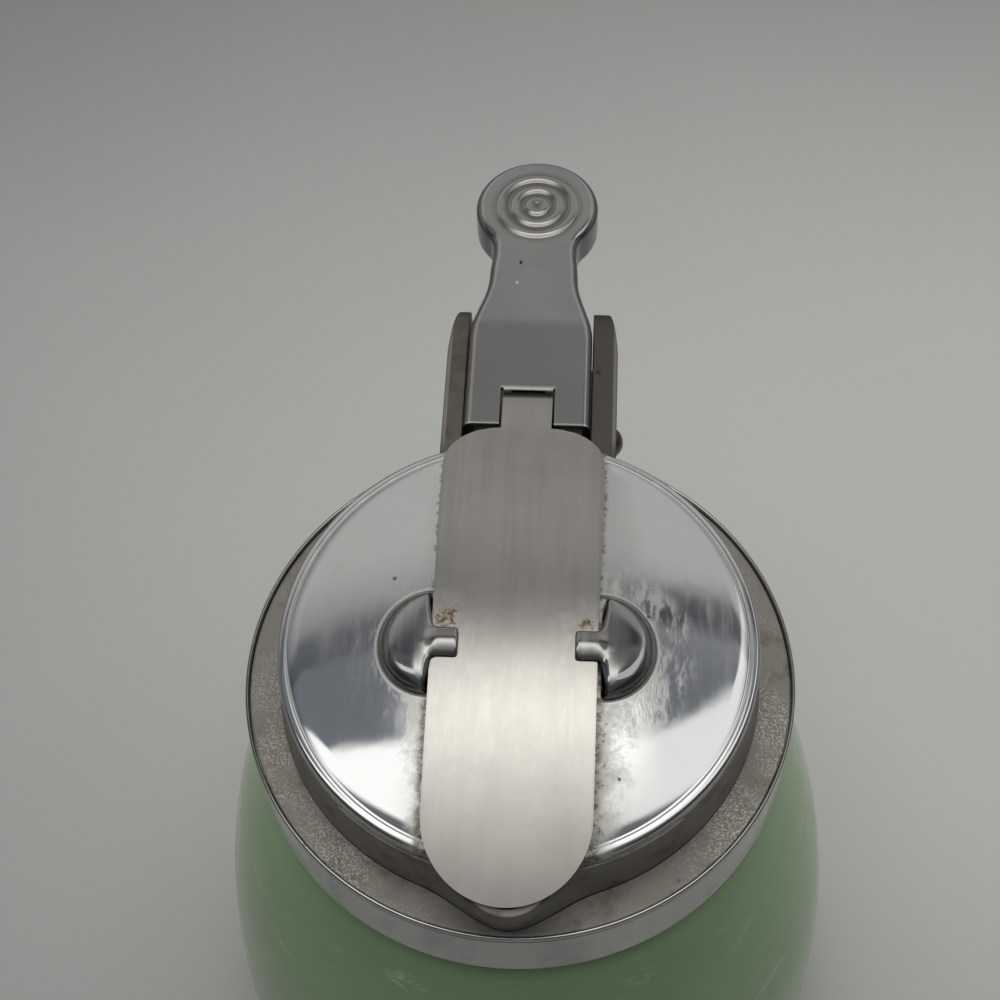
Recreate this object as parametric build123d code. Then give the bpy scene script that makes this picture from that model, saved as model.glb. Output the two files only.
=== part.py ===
from build123d import *
import math
import os

# Syrup dispenser: glass jar, screwed metal top with a sliding pour gate, thumb lever and handle.
# Millimetres. Origin at the middle of the jar's foot, +Z up, pouring nose towards -Y, handle towards +Y.

# Jar
JAR_HEIGHT = 105.5
JAR_WIDEST_RADIUS = 48.0
JAR_WIDEST_HEIGHT = 26.0
JAR_SHOULDER_RADIUS = 35.6
JAR_NECK_LENGTH = 8.1
JAR_NECK_STEP = 1.0
NECK_INSET = 1.1
JAR_HEEL_RADIUS = 12.0
JAR_FOOT_WIDTH = 5.0
JAR_PUNT_DEPTH = 1.8
JAR_WALL = 3.6
JAR_FLOOR = 5.5
NECK_WALL = 4.9
LIP_ROUND = 1.0

# Stack of the top on the jar's lip
SEAT_GAP = 0.1
GASKET_THICKNESS = 1.2
GASKET_INSET = 0.6
FLANGE_THICKNESS = 1.9
FLANGE_INSET = 1.0

# Screw ring
RING_WALL = 2.5
RING_HEIGHT = 11.5
RING_LIP_THICKNESS = 1.2
RING_LIP_WIDTH = 1.6
RING_TOP_ROUND = 0.9
RING_BOTTOM_ROUND = 0.5
RING_NECK_CLEARANCE = 0.3
RING_RUNNING_CLEARANCE = 0.1
FLANGE_SIDE_CLEARANCE = 0.2

# Cast top: skirt, spigot for the dome plate, pouring nose
SKIRT_LEDGE = 3.7
SKIRT_DRAFT = 0.7
SKIRT_WALL = 2.6
SKIRT_HEIGHT = 8.0
NOSE_RADIUS = 6.3
NOSE_OVERHANG = 6.1
NOSE_LEAN = 0.32
NOSE_BLEND_RADIUS = 5.0
NOSE_ROOT_DEPTH = 5.8
SPOUT_HALF_WIDTH = 4.7
SPOUT_FRONT_WALL = 1.6
SPOUT_LENGTH = 6.8
SPOUT_BACK_WALL = 1.5
SPOUT_BACK_DEPTH = 3.0
SPOUT_FLOOR_RISE = 3.5
LIP_GAP = 0.1

# Dome plate and its two guide ears
DOME_RADIUS = 117.0
DOME_RISE = 14.0
DOME_THICKNESS = 0.8
BEAD_ROUND = 0.7
BEAD_DROP = 1.2
SPIGOT_CLEARANCE = 0.1
NOSE_NOTCH_CLEARANCE = 0.25
EAR_RADIUS = 7.3
EAR_RISE = 2.55
EAR_CENTRE_Y = -2.3
EAR_SHEET = 0.8
EAR_ZONE = 6.0
TAB_WIDTH = 4.0
TAB_REACH = 3.1

# Gate, bowed to run over the dome
GATE_WIDTH = 21.4
GATE_THICKNESS = 0.8
GATE_TIP_SETBACK = 1.5
GATE_SHOULDER_SETBACK = 3.8
GATE_SHOULDER_ROUND = 7.2
GATE_NECK_WIDTH = 7.0
GATE_NECK_LAP = 3.5
GATE_LIFT = 0.15
GATE_SIDE_CLEARANCE = 0.2
GATE_SLOT_CLEARANCE = 0.42

# Bracket with two cheeks
CHEEK_GAP = 18.6
CHEEK_THICKNESS = 2.8
BRACKET_REACH = 20.0
CHEEK_END_HALF_WIDTH = 10.9
CHEEK_TAPER_LENGTH = 13.5
CHEEK_TOP_FRONT = 8.0
CHEEK_TOP_REAR = 4.0
CHEEK_REAR_FLAT = 7.5
CHEEK_END_ROUND = 3.0
CHEEK_ROOT_DEPTH = 2.9
RING_TOP_CLEARANCE = 0.6
RING_BACK_CLEARANCE = 0.8
BRACKET_DEPTH = 11.5
BRACKET_FLOOR = 2.5

# Pivot pin
PIN_RADIUS = 1.5
PIN_SETBACK = 4.2
PIN_DROP = 5.0
PIN_RUNNING_CLEARANCE = 0.05
PIN_HEAD_RADIUS = 2.0
PIN_HEAD_HEIGHT = 1.3
PIN_HEAD_EDGE = 0.3
PIN_PEEN_RADIUS = 1.9
PIN_PEEN_HEIGHT = 0.7
PIN_PEEN_FLAT = 1.1
PIN_SIDE_CLEARANCE = 0.05

# Thumb lever
LEVER_SHEET = 0.8
LEVER_TOP = 9.9
LEVER_FRONT_OVERLAP = 2.9
LEVER_FRONT_HALF_WIDTH = 8.9
LEVER_BODY_LENGTH = 18.0
LEVER_BEND_HALF_WIDTH = 8.35
LEVER_NECK_FROM_BEND = 10.3
LEVER_NECK_HALF_WIDTH = 6.35
LEVER_SKIRT = 3.2
LEVER_EDGE_ROUND = 1.2
LEVER_FRONT_OVERRUN = 2.0
NECK_BEND = 4.0
NECK_BEND_STRAIGHT = 0.6
PAD_FROM_NECK = 12.6
PAD_RADIUS = 9.05
PAD_JOIN_ANGLE = 40.0
PAD_SKIRT = 1.8
PAD_SKIRT_START = 4.0
PAD_RING_RADII = (3.2, 5.15, 7.05)
PAD_RING_WIDTH = 1.3
PAD_RING_HEIGHT = 0.4
PAD_BUTTON_RADIUS = 1.4
NOTCH_WIDTH = 7.7
NOTCH_DEPTH = 6.2
TONGUE_WIDTH = 4.8
TONGUE_LENGTH = 4.2
EAR_PLATE_OUTER = 8.6
EAR_PLATE_EYE = 3.6

# Lever spring
SPRING_WIRE = 0.8
SPRING_PIN_CLEARANCE = 0.4
SPRING_PITCH = 1.3
SPRING_FULL_TURNS = 4
SPRING_FLOOR_ANGLE = -35.0
SPRING_LEVER_ANGLE = 62.0
SPRING_LEG_GAP = 0.25

# Handle and its screws
HANDLE_WIDTH = 16.0
HANDLE_THICKNESS = 5.0
HANDLE_SEAT_START = 4.5
HANDLE_BACK_REACH = 41.0
HANDLE_GRIP_END_DROP = 66.0
HANDLE_TAIL_REACH = 29.0
HANDLE_TAIL_DROP = 93.0
HANDLE_BEND_RADIUS = 21.0
HANDLE_TAIL_BEND_RADIUS = 45.0
HANDLE_EDGE_ROUND = 1.9
SCREW_RADIUS = 1.5
SCREW_HOLE_CLEARANCE = 0.1
SCREW_HEAD_RADIUS = 2.8
SCREW_HEAD_HEIGHT = 1.8
SCREW_HEAD_ROUND = 0.6
SCREW_SETBACK = 8.0
SCREW_SPACING = 7.5
SCREW_END_GAP = 0.4

# Extra length of a cutting shape past the face that it cuts
OVERCUT = 1.0
# How near to a level or a line an edge or corner lies that is picked there
LEVEL_MATCH = 0.01

# Radii that follow from the jar's shoulder
NECK_RADIUS = JAR_SHOULDER_RADIUS - NECK_INSET
MOUTH_RADIUS = NECK_RADIUS - NECK_WALL
GASKET_INNER_RADIUS = MOUTH_RADIUS + GASKET_INSET
RING_RADIUS = NECK_RADIUS + RING_WALL
RING_LIP_INNER_RADIUS = RING_RADIUS - RING_LIP_WIDTH
FLANGE_RADIUS = RING_RADIUS - FLANGE_INSET
SKIRT_FOOT_RADIUS = FLANGE_RADIUS - SKIRT_LEDGE
SKIRT_TOP_RADIUS = SKIRT_FOOT_RADIUS - SKIRT_DRAFT
SKIRT_BORE = SKIRT_TOP_RADIUS - SKIRT_WALL
BEAD_RADIUS = SKIRT_TOP_RADIUS
SPIGOT_RADIUS = BEAD_RADIUS - DOME_THICKNESS - SPIGOT_CLEARANCE

# Places along Y that follow from the ring
NOSE_LIP_REACH = SKIRT_TOP_RADIUS + NOSE_OVERHANG
GATE_TIP = NOSE_LIP_REACH - GATE_TIP_SETBACK
GATE_SHOULDER_END = RING_RADIUS - GATE_SHOULDER_SETBACK
LEVER_FRONT = RING_RADIUS - LEVER_FRONT_OVERLAP
NOTCH_END = LEVER_FRONT + NOTCH_DEPTH
GATE_NECK_END = NOTCH_END + GATE_NECK_LAP
PIN_Y = RING_RADIUS + PIN_SETBACK
LEVER_BEND = LEVER_FRONT + LEVER_BODY_LENGTH
LEVER_NECK = LEVER_BEND + LEVER_NECK_FROM_BEND
PAD_CENTRE = LEVER_NECK + PAD_FROM_NECK
CHEEK_END = RING_RADIUS + BRACKET_REACH
CHEEK_TAPER_START = CHEEK_END - CHEEK_TAPER_LENGTH
SCREW_FIRST_Y = RING_RADIUS + SCREW_SETBACK
HANDLE_FRONT = RING_RADIUS + HANDLE_SEAT_START
HANDLE_BACK = RING_RADIUS + HANDLE_BACK_REACH
HANDLE_TAIL_BACK = RING_RADIUS + HANDLE_TAIL_REACH

# Levels that follow from the stack
JAR_SHOULDER = JAR_HEIGHT - JAR_NECK_LENGTH
GASKET_TOP = JAR_HEIGHT + SEAT_GAP + GASKET_THICKNESS
FLANGE_TOP = GASKET_TOP + FLANGE_THICKNESS
RIM = FLANGE_TOP + RING_RUNNING_CLEARANCE + RING_LIP_THICKNESS
RING_SHOULDER = GASKET_TOP - RING_RUNNING_CLEARANCE
SKIRT_TOP = RIM + SKIRT_HEIGHT
DOME_TOP = RIM + DOME_RISE
ARC_CENTRE = DOME_TOP - DOME_RADIUS
GATE_INNER_ARC = DOME_RADIUS + GATE_LIFT
GATE_OUTER_ARC = GATE_INNER_ARC + GATE_THICKNESS
PIN_Z = RIM - PIN_DROP
LEVER_TOP_Z = RIM + LEVER_TOP
LEVER_UNDERSIDE = LEVER_TOP_Z - LEVER_SHEET
BRACKET_BOTTOM = RIM - BRACKET_DEPTH
FLOOR_TOP = BRACKET_BOTTOM + BRACKET_FLOOR
CHEEK_INNER = CHEEK_GAP / 2
CHEEK_OUTER = CHEEK_INNER + CHEEK_THICKNESS


def dome_z(radius, arc=DOME_RADIUS):
    """Height of an arc about the dome's centre of curvature, at a distance from its axis."""
    return ARC_CENTRE + math.sqrt(arc**2 - radius**2)


def turned(profile):
    """Solid turned about Z from a closed profile in the XZ plane."""
    return revolve(make_face(profile), Axis.Z)


def circles_at(solid, level):
    """Circular edges of a turned solid at one level, the smallest first."""
    circles = solid.edges().filter_by(GeomType.CIRCLE)
    return circles.filter_by_position(Axis.Z, level - LEVEL_MATCH, level + LEVEL_MATCH).sort_by(SortBy.RADIUS)


def side_plate(outline, x_from, x_to):
    """Plate between two X positions from a face drawn as (y, z)."""
    plane = Plane(origin=(x_from, 0, 0), x_dir=(0, 1, 0), z_dir=(1, 0, 0))
    return extrude(plane * outline, amount=x_to - x_from)


def cross_rod(radius, x_from, x_to, y=PIN_Y, z=PIN_Z):
    """Round rod along X."""
    return Pos((x_from + x_to) / 2, y, z) * Rot(0, 90, 0) * Cylinder(radius, x_to - x_from)


def make_jar():
    """Flared pressed glass jar with a rounded heel, a raised punt and a straight neck."""
    heel_top = JAR_HEEL_RADIUS
    foot_outer = JAR_WIDEST_RADIUS - JAR_HEEL_RADIUS
    foot_inner = foot_outer - JAR_FOOT_WIDTH
    inner_widest = JAR_WIDEST_RADIUS - JAR_WALL
    inner_heel = JAR_HEEL_RADIUS - JAR_WALL
    inner_shoulder = JAR_SHOULDER_RADIUS - JAR_WALL
    heel_corner = heel_top - JAR_HEEL_RADIUS * math.sin(math.radians(45))
    heel_side = foot_outer + JAR_HEEL_RADIUS * math.cos(math.radians(45))
    with BuildLine(Plane.XZ) as outside:
        Line((0, JAR_PUNT_DEPTH), (foot_inner - JAR_PUNT_DEPTH, JAR_PUNT_DEPTH))
        Line((foot_inner - JAR_PUNT_DEPTH, JAR_PUNT_DEPTH), (foot_inner, 0))
        Line((foot_inner, 0), (foot_outer, 0))
        ThreePointArc((foot_outer, 0), (heel_side, heel_corner), (JAR_WIDEST_RADIUS, heel_top))
        Line((JAR_WIDEST_RADIUS, heel_top), (JAR_WIDEST_RADIUS, JAR_WIDEST_HEIGHT))
        TangentArc(
            (JAR_WIDEST_RADIUS, JAR_WIDEST_HEIGHT), (JAR_SHOULDER_RADIUS, JAR_SHOULDER), tangent=(0, 1)
        )
        Line((JAR_SHOULDER_RADIUS, JAR_SHOULDER), (NECK_RADIUS, JAR_SHOULDER + JAR_NECK_STEP))
        Line((NECK_RADIUS, JAR_SHOULDER + JAR_NECK_STEP), (NECK_RADIUS, JAR_HEIGHT))
        Line((NECK_RADIUS, JAR_HEIGHT), (0, JAR_HEIGHT))
        Line((0, JAR_HEIGHT), (0, JAR_PUNT_DEPTH))
    floor = JAR_PUNT_DEPTH + JAR_FLOOR
    cavity_side = inner_widest - inner_heel * (1 - math.cos(math.radians(45)))
    cavity_corner = floor + inner_heel * (1 - math.sin(math.radians(45)))
    bore_start = JAR_SHOULDER - JAR_WALL
    with BuildLine(Plane.XZ) as inside:
        Line((0, floor), (inner_widest - inner_heel, floor))
        ThreePointArc(
            (inner_widest - inner_heel, floor), (cavity_side, cavity_corner), (inner_widest, floor + inner_heel)
        )
        Line((inner_widest, floor + inner_heel), (inner_widest, JAR_WIDEST_HEIGHT))
        TangentArc((inner_widest, JAR_WIDEST_HEIGHT), (inner_shoulder, bore_start), tangent=(0, 1))
        Line((inner_shoulder, bore_start), (MOUTH_RADIUS, JAR_SHOULDER))
        Line((MOUTH_RADIUS, JAR_SHOULDER), (MOUTH_RADIUS, JAR_HEIGHT + OVERCUT))
        Line((MOUTH_RADIUS, JAR_HEIGHT + OVERCUT), (0, JAR_HEIGHT + OVERCUT))
        Line((0, JAR_HEIGHT + OVERCUT), (0, floor))
    jar = turned(outside.line) - turned(inside.line)
    return fillet(circles_at(jar, JAR_HEIGHT), LIP_ROUND)


def ring_band(outer, inner, bottom, top):
    """Plain ring between two levels."""
    height = top - bottom
    return Pos(0, 0, bottom + height / 2) * (Cylinder(outer, height) - Cylinder(inner, height + OVERCUT))


def make_gasket():
    """Flat seal between the jar's lip and the flange of the top."""
    outer = NECK_RADIUS - RING_NECK_CLEARANCE
    return ring_band(outer, GASKET_INNER_RADIUS, GASKET_TOP - GASKET_THICKNESS, GASKET_TOP)


def make_screw_ring():
    """Ring that turns on the flange of the top; its thread on the neck is a plain bore."""
    bottom = RIM - RING_HEIGHT
    thread_bore = NECK_RADIUS + RING_NECK_CLEARANCE
    pocket = FLANGE_RADIUS + FLANGE_SIDE_CLEARANCE
    lip_underside = RIM - RING_LIP_THICKNESS
    with BuildLine(Plane.XZ) as section:
        Polyline(
            (thread_bore, bottom),
            (RING_RADIUS, bottom),
            (RING_RADIUS, RIM),
            (RING_LIP_INNER_RADIUS, RIM),
            (RING_LIP_INNER_RADIUS, lip_underside),
            (pocket, lip_underside),
            (pocket, RING_SHOULDER),
            (thread_bore, RING_SHOULDER),
            close=True,
        )
    ring = turned(section.line)
    ring = fillet(circles_at(ring, RIM)[-1], RING_TOP_ROUND)
    ring = fillet(circles_at(ring, RIM)[0], RING_LIP_THICKNESS / 3)
    return fillet(circles_at(ring, bottom)[-1], RING_BOTTOM_ROUND)


def nose_section(skirt_radius, nose_radius, reach):
    """Front of the skirt's circle joined to the nose's round tip by blend arcs, as a face."""
    tip_centre = Vector(0, nose_radius - reach)
    blend_y = (
        (nose_radius + NOSE_BLEND_RADIUS) ** 2 - (skirt_radius + NOSE_BLEND_RADIUS) ** 2 - tip_centre.Y**2
    ) / (-2 * tip_centre.Y)
    blend = Vector(math.sqrt((skirt_radius + NOSE_BLEND_RADIUS) ** 2 - blend_y**2), blend_y)
    on_skirt = blend.normalized() * skirt_radius
    on_tip = tip_centre + (blend - tip_centre).normalized() * nose_radius
    between = blend + ((on_skirt + on_tip) * 0.5 - blend).normalized() * NOSE_BLEND_RADIUS
    chord_y = NOSE_ROOT_DEPTH - SKIRT_BORE
    chord_x = math.sqrt(skirt_radius**2 - chord_y**2)
    on_arc = (Vector(chord_x, chord_y) + on_skirt).normalized() * skirt_radius
    with BuildLine() as right:
        Line((0, chord_y), (chord_x, chord_y))
        ThreePointArc((chord_x, chord_y), on_arc, on_skirt)
        ThreePointArc(on_skirt, between, on_tip)
        on_end = tip_centre + ((on_tip + Vector(0, -reach)) * 0.5 - tip_centre).normalized() * nose_radius
        ThreePointArc(on_tip, on_end, (0, -reach))
        mirror(about=Plane.YZ)
    return make_face(right.line)


def nose_reach(level):
    """How far the leaning nose stands out from the axis at a level."""
    lip_level = dome_z(NOSE_LIP_REACH)
    return NOSE_LIP_REACH - NOSE_LEAN * (lip_level - level)


def spout_bar(front_extra, level, height):
    """Block as wide as the nose, from the back of the spout's rear bar to well past the nose's tip."""
    back = SPOUT_LENGTH + SPOUT_FRONT_WALL + SPOUT_BACK_WALL - NOSE_LIP_REACH
    length = NOSE_LIP_REACH + front_extra
    return Pos(0, back - length / 2, level + height / 2) * Box(2 * NOSE_RADIUS, length, height)


def make_nose():
    """Solid nose that leans outwards and rises to the gate as a flat-sided lip."""
    foot_level = FLANGE_TOP - FLANGE_THICKNESS / 2
    foot = Pos(0, 0, foot_level) * nose_section(SKIRT_FOOT_RADIUS, NOSE_RADIUS, nose_reach(foot_level))
    crown = Pos(0, 0, DOME_TOP) * nose_section(SKIRT_TOP_RADIUS, NOSE_RADIUS, nose_reach(DOME_TOP))
    nose = loft([foot.face(), crown.face()], ruled=True)
    ledge = Pos(0, 0, SKIRT_TOP + DOME_RISE / 2) * Box(4 * RING_RADIUS, 4 * RING_RADIUS, DOME_RISE)
    return nose - (ledge - spout_bar(RING_RADIUS, SKIRT_TOP, DOME_RISE))


def spout_passage():
    """Way from under the dome to the mouth in the nose's top."""
    front = -(NOSE_LIP_REACH - SPOUT_FRONT_WALL)
    back = front + SPOUT_LENGTH
    bar_bottom = dome_z(back) - SPOUT_BACK_DEPTH
    with BuildSketch() as mouth:
        with Locations((0, front + SPOUT_HALF_WIDTH)):
            Circle(SPOUT_HALF_WIDTH)
        with Locations((0, front + SPOUT_HALF_WIDTH + RING_RADIUS / 2)):
            Rectangle(2 * SPOUT_HALF_WIDTH, RING_RADIUS)
    tube = Pos(0, 0, FLANGE_TOP) * extrude(mouth.sketch, amount=2 * DOME_RISE)
    with BuildSketch() as side:
        with BuildLine():
            Polyline(
                (front, DOME_TOP),
                (back, DOME_TOP),
                (back, bar_bottom),
                (-SKIRT_BORE + SKIRT_WALL, bar_bottom),
                (-SKIRT_BORE + SKIRT_WALL, FLANGE_TOP),
                (-SKIRT_BORE, FLANGE_TOP),
                (front, RIM + SPOUT_FLOOR_RISE),
                close=True,
            )
        make_face()
    return tube & side_plate(side.sketch, -SPOUT_HALF_WIDTH, SPOUT_HALF_WIDTH)


def cheek_side():
    """Side outline of a cheek as (y, z): over the ring's rim, down behind it and back to the handle's seat."""
    over_ring = RIM + RING_TOP_CLEARANCE
    behind_ring = RING_RADIUS + RING_BACK_CLEARANCE
    front = SKIRT_BORE - CHEEK_ROOT_DEPTH
    with BuildSketch() as side:
        with BuildLine():
            Polyline(
                (front, over_ring),
                (behind_ring, over_ring),
                (behind_ring, BRACKET_BOTTOM),
                (CHEEK_END, BRACKET_BOTTOM),
                (CHEEK_END, RIM + CHEEK_TOP_REAR),
                (CHEEK_END - CHEEK_REAR_FLAT, RIM + CHEEK_TOP_REAR),
                (front, RIM + CHEEK_TOP_FRONT),
                close=True,
            )
        make_face()
        rear = side.vertices().filter_by_position(Axis.X, CHEEK_END - LEVEL_MATCH, CHEEK_END + LEVEL_MATCH)
        fillet(rear.sort_by(Axis.Y)[-1], CHEEK_END_ROUND)
        fillet(rear.sort_by(Axis.Y)[0], CHEEK_END_ROUND / 2)
    return side.sketch


def make_bracket():
    """Two cheeks with a floor between them, behind the ring."""
    cheeks = side_plate(cheek_side(), CHEEK_INNER, CHEEK_OUTER)
    cheeks += side_plate(cheek_side(), -CHEEK_OUTER, -CHEEK_INNER)
    behind_ring = RING_RADIUS + RING_BACK_CLEARANCE
    floor_length = CHEEK_END - behind_ring
    floor = Pos(0, behind_ring + floor_length / 2, BRACKET_BOTTOM + BRACKET_FLOOR / 2) * Box(
        CHEEK_GAP + CHEEK_THICKNESS, floor_length, BRACKET_FLOOR
    )
    bracket = cheeks + floor
    with BuildSketch() as taper:
        with BuildLine():
            Polyline(
                (CHEEK_OUTER, CHEEK_TAPER_START),
                (CHEEK_OUTER + OVERCUT, CHEEK_TAPER_START),
                (CHEEK_OUTER + OVERCUT, CHEEK_END + OVERCUT),
                (CHEEK_END_HALF_WIDTH, CHEEK_END + OVERCUT),
                (CHEEK_END_HALF_WIDTH, CHEEK_END),
                close=True,
            )
        make_face()
        mirror(about=Plane.YZ)
    taper_height = 2 * (BRACKET_DEPTH + CHEEK_TOP_FRONT)
    bracket -= Pos(0, 0, BRACKET_BOTTOM - OVERCUT) * extrude(taper.sketch, amount=taper_height)
    eye = PIN_RADIUS + PIN_RUNNING_CLEARANCE
    bracket -= cross_rod(eye, -CHEEK_OUTER - OVERCUT, CHEEK_OUTER + OVERCUT)
    screw_hole = SCREW_RADIUS + SCREW_HOLE_CLEARANCE
    return bracket - screw_holes(screw_hole, BRACKET_BOTTOM - OVERCUT, FLOOR_TOP + OVERCUT)


def screw_holes(radius, bottom, top):
    """Upright rods at the places of the handle's screws."""
    height = top - bottom
    places = Locations(*[(0, SCREW_FIRST_Y + i * SCREW_SPACING, bottom + height / 2) for i in range(2)])
    return Part() + [place * Cylinder(radius, height) for place in places.locations]


def make_top_casting():
    """Cast body of the top: flange, skirt with spigot, pouring nose with its mouth, rear bracket."""
    with BuildLine(Plane.XZ) as section:
        Polyline(
            (SKIRT_BORE, GASKET_TOP),
            (FLANGE_RADIUS, GASKET_TOP),
            (FLANGE_RADIUS, FLANGE_TOP),
            (SKIRT_FOOT_RADIUS, FLANGE_TOP),
            (SKIRT_TOP_RADIUS, SKIRT_TOP),
            (SPIGOT_RADIUS, SKIRT_TOP),
            (SPIGOT_RADIUS, SKIRT_TOP + BEAD_DROP / 2),
            (SKIRT_BORE, SKIRT_TOP + BEAD_DROP / 2),
            close=True,
        )
    skirt = turned(section.line)
    top = skirt + make_nose() + make_bracket()
    bore = Pos(0, 0, GASKET_TOP) * Cylinder(SKIRT_BORE, 2 * SKIRT_HEIGHT + 2 * FLANGE_THICKNESS)
    bar_bottom = dome_z(NOSE_LIP_REACH - SPOUT_FRONT_WALL - SPOUT_LENGTH) - SPOUT_BACK_DEPTH
    top -= bore - spout_bar(0, bar_bottom, DOME_RISE)
    top -= spout_passage()
    under_gate = Pos(0, 0, ARC_CENTRE) * Rot(0, 90, 0) * (
        Cylinder(GATE_OUTER_ARC + DOME_RISE, 4 * NOSE_RADIUS)
        - Cylinder(GATE_INNER_ARC - LIP_GAP, 4 * NOSE_RADIUS)
    )
    return top - under_gate


def ear_half(shell_radius, cap_radius):
    """Half of a round bump on the dome, cut off at the gate's edge, on the +X side."""
    sphere_centre = dome_z(GATE_WIDTH / 2) + EAR_RISE - cap_radius
    gate_side = GATE_WIDTH / 2 + GATE_SIDE_CLEARANCE
    ball = Pos(gate_side, EAR_CENTRE_Y, sphere_centre) * Sphere(shell_radius)
    size = 2 * EAR_RADIUS
    half = Pos(gate_side + size / 2, EAR_CENTRE_Y, DOME_TOP) * Box(size, 2 * size, 2 * EAR_ZONE)
    return ball & half


def make_dome_plate():
    """Bright dome with a rolled bead, a notch for the nose and two lanced ears that hold the gate down."""
    flat_radius = BEAD_RADIUS - BEAD_ROUND
    bead_top = dome_z(flat_radius)
    bead_foot = SKIRT_TOP + SPIGOT_CLEARANCE / 2
    inner = DOME_RADIUS - DOME_THICKNESS
    bead_inner = BEAD_RADIUS - DOME_THICKNESS
    bead_under = ARC_CENTRE + math.sqrt(inner**2 - bead_inner**2)
    with BuildLine(Plane.XZ) as section:
        RadiusArc((0, DOME_TOP), (flat_radius, bead_top), DOME_RADIUS)
        RadiusArc((flat_radius, bead_top), (BEAD_RADIUS, bead_top - BEAD_ROUND), BEAD_ROUND)
        Line((BEAD_RADIUS, bead_top - BEAD_ROUND), (BEAD_RADIUS, bead_foot))
        Line((BEAD_RADIUS, bead_foot), (bead_inner, bead_foot))
        Line((bead_inner, bead_foot), (bead_inner, bead_under))
        RadiusArc((bead_inner, bead_under), (0, DOME_TOP - DOME_THICKNESS), -inner)
        Line((0, DOME_TOP - DOME_THICKNESS), (0, DOME_TOP))
    plate = turned(section.line)
    cap_radius = (EAR_RADIUS**2 + EAR_RISE**2) / (2 * EAR_RISE)
    plate -= offset(spout_bar(RING_RADIUS, RIM, 2 * DOME_RISE), NOSE_NOTCH_CLEARANCE, kind=Kind.INTERSECTION)
    bump = ear_half(cap_radius, cap_radius)
    hollow = ear_half(cap_radius - EAR_SHEET, cap_radius)
    tab_root = GATE_WIDTH / 2 + GATE_SIDE_CLEARANCE + EAR_SHEET
    tab_length = TAB_REACH + GATE_SIDE_CLEARANCE + EAR_SHEET
    tab_block = Pos(tab_root - tab_length / 2, EAR_CENTRE_Y, DOME_TOP) * Box(tab_length, TAB_WIDTH, DOME_RISE)
    tab_under = GATE_OUTER_ARC + GATE_LIFT
    tab_shell = Pos(0, 0, ARC_CENTRE) * Rot(0, 90, 0) * (
        Cylinder(tab_under + EAR_SHEET, 2 * GATE_WIDTH) - Cylinder(tab_under, 2 * GATE_WIDTH)
    )
    tab = tab_block & tab_shell
    for piece in (bump, mirror(bump, Plane.YZ)):
        plate += piece
    for piece in (hollow, mirror(hollow, Plane.YZ)):
        plate -= piece
    return plate + tab + mirror(tab, Plane.YZ)


def make_gate():
    """Bowed strip with a round tip, round shoulders and a neck with the slot for the lever's tongue."""
    half = GATE_WIDTH / 2
    shoulder_start = GATE_SHOULDER_END - GATE_SHOULDER_ROUND
    slot_front = NOTCH_END - GATE_SLOT_CLEARANCE
    slot_back = NOTCH_END + LEVER_SHEET + GATE_SLOT_CLEARANCE
    slot_half = TONGUE_WIDTH / 2 + GATE_SIDE_CLEARANCE
    with BuildSketch() as outline:
        body_length = shoulder_start + GATE_TIP - half
        with Locations((0, -(GATE_TIP - half) + body_length / 2)):
            Rectangle(GATE_WIDTH, body_length)
        with Locations((0, -(GATE_TIP - half))):
            Circle(half)
        for side in (1, -1):
            with Locations((side * (half - GATE_SHOULDER_ROUND), shoulder_start)):
                Circle(GATE_SHOULDER_ROUND)
        with Locations((0, shoulder_start + (GATE_NECK_END - shoulder_start) / 2)):
            Rectangle(GATE_NECK_WIDTH, GATE_NECK_END - shoulder_start)
        with Locations((0, (slot_front + slot_back) / 2)):
            Rectangle(2 * slot_half, slot_back - slot_front, mode=Mode.SUBTRACT)
    strip = Pos(0, 0, ARC_CENTRE) * Rot(0, 90, 0) * (
        Cylinder(GATE_OUTER_ARC, GATE_WIDTH + OVERCUT) - Cylinder(GATE_INNER_ARC, GATE_WIDTH + 2 * OVERCUT)
    )
    return strip & (Pos(0, 0, RIM) * extrude(outline.sketch, amount=2 * DOME_RISE))


def lever_outline(inset=0.0, front_extra=0.0):
    """Lever seen from above before its neck is bent; the inset is the same all round."""
    front_half = LEVER_FRONT_HALF_WIDTH - inset
    bend_half = LEVER_BEND_HALF_WIDTH - inset
    neck_half = LEVER_NECK_HALF_WIDTH - inset
    pad = PAD_RADIUS - inset
    join = math.radians(PAD_JOIN_ANGLE)
    join_point = (pad * math.cos(join), PAD_CENTRE - pad * math.sin(join))
    side_point = (pad * math.cos(join / 2), PAD_CENTRE + pad * math.sin(join / 2))
    front = LEVER_FRONT - front_extra
    with BuildLine() as right:
        Line((0, front), (front_half, front))
        TangentArc((bend_half, LEVER_BEND - NECK_BEND_STRAIGHT), (front_half, front), tangent=(0, -1))
        Line((bend_half, LEVER_BEND - NECK_BEND_STRAIGHT), (bend_half, LEVER_BEND + NECK_BEND_STRAIGHT))
        Spline(
            (bend_half, LEVER_BEND + NECK_BEND_STRAIGHT),
            (neck_half, LEVER_NECK),
            join_point,
            tangents=((0, 1), (math.sin(join), math.cos(join))),
        )
        ThreePointArc(join_point, side_point, (0, PAD_CENTRE + pad))
        Line((0, PAD_CENTRE + pad), (0, front))
    half = make_face(right.line)
    return half + mirror(half, Plane.YZ)


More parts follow.
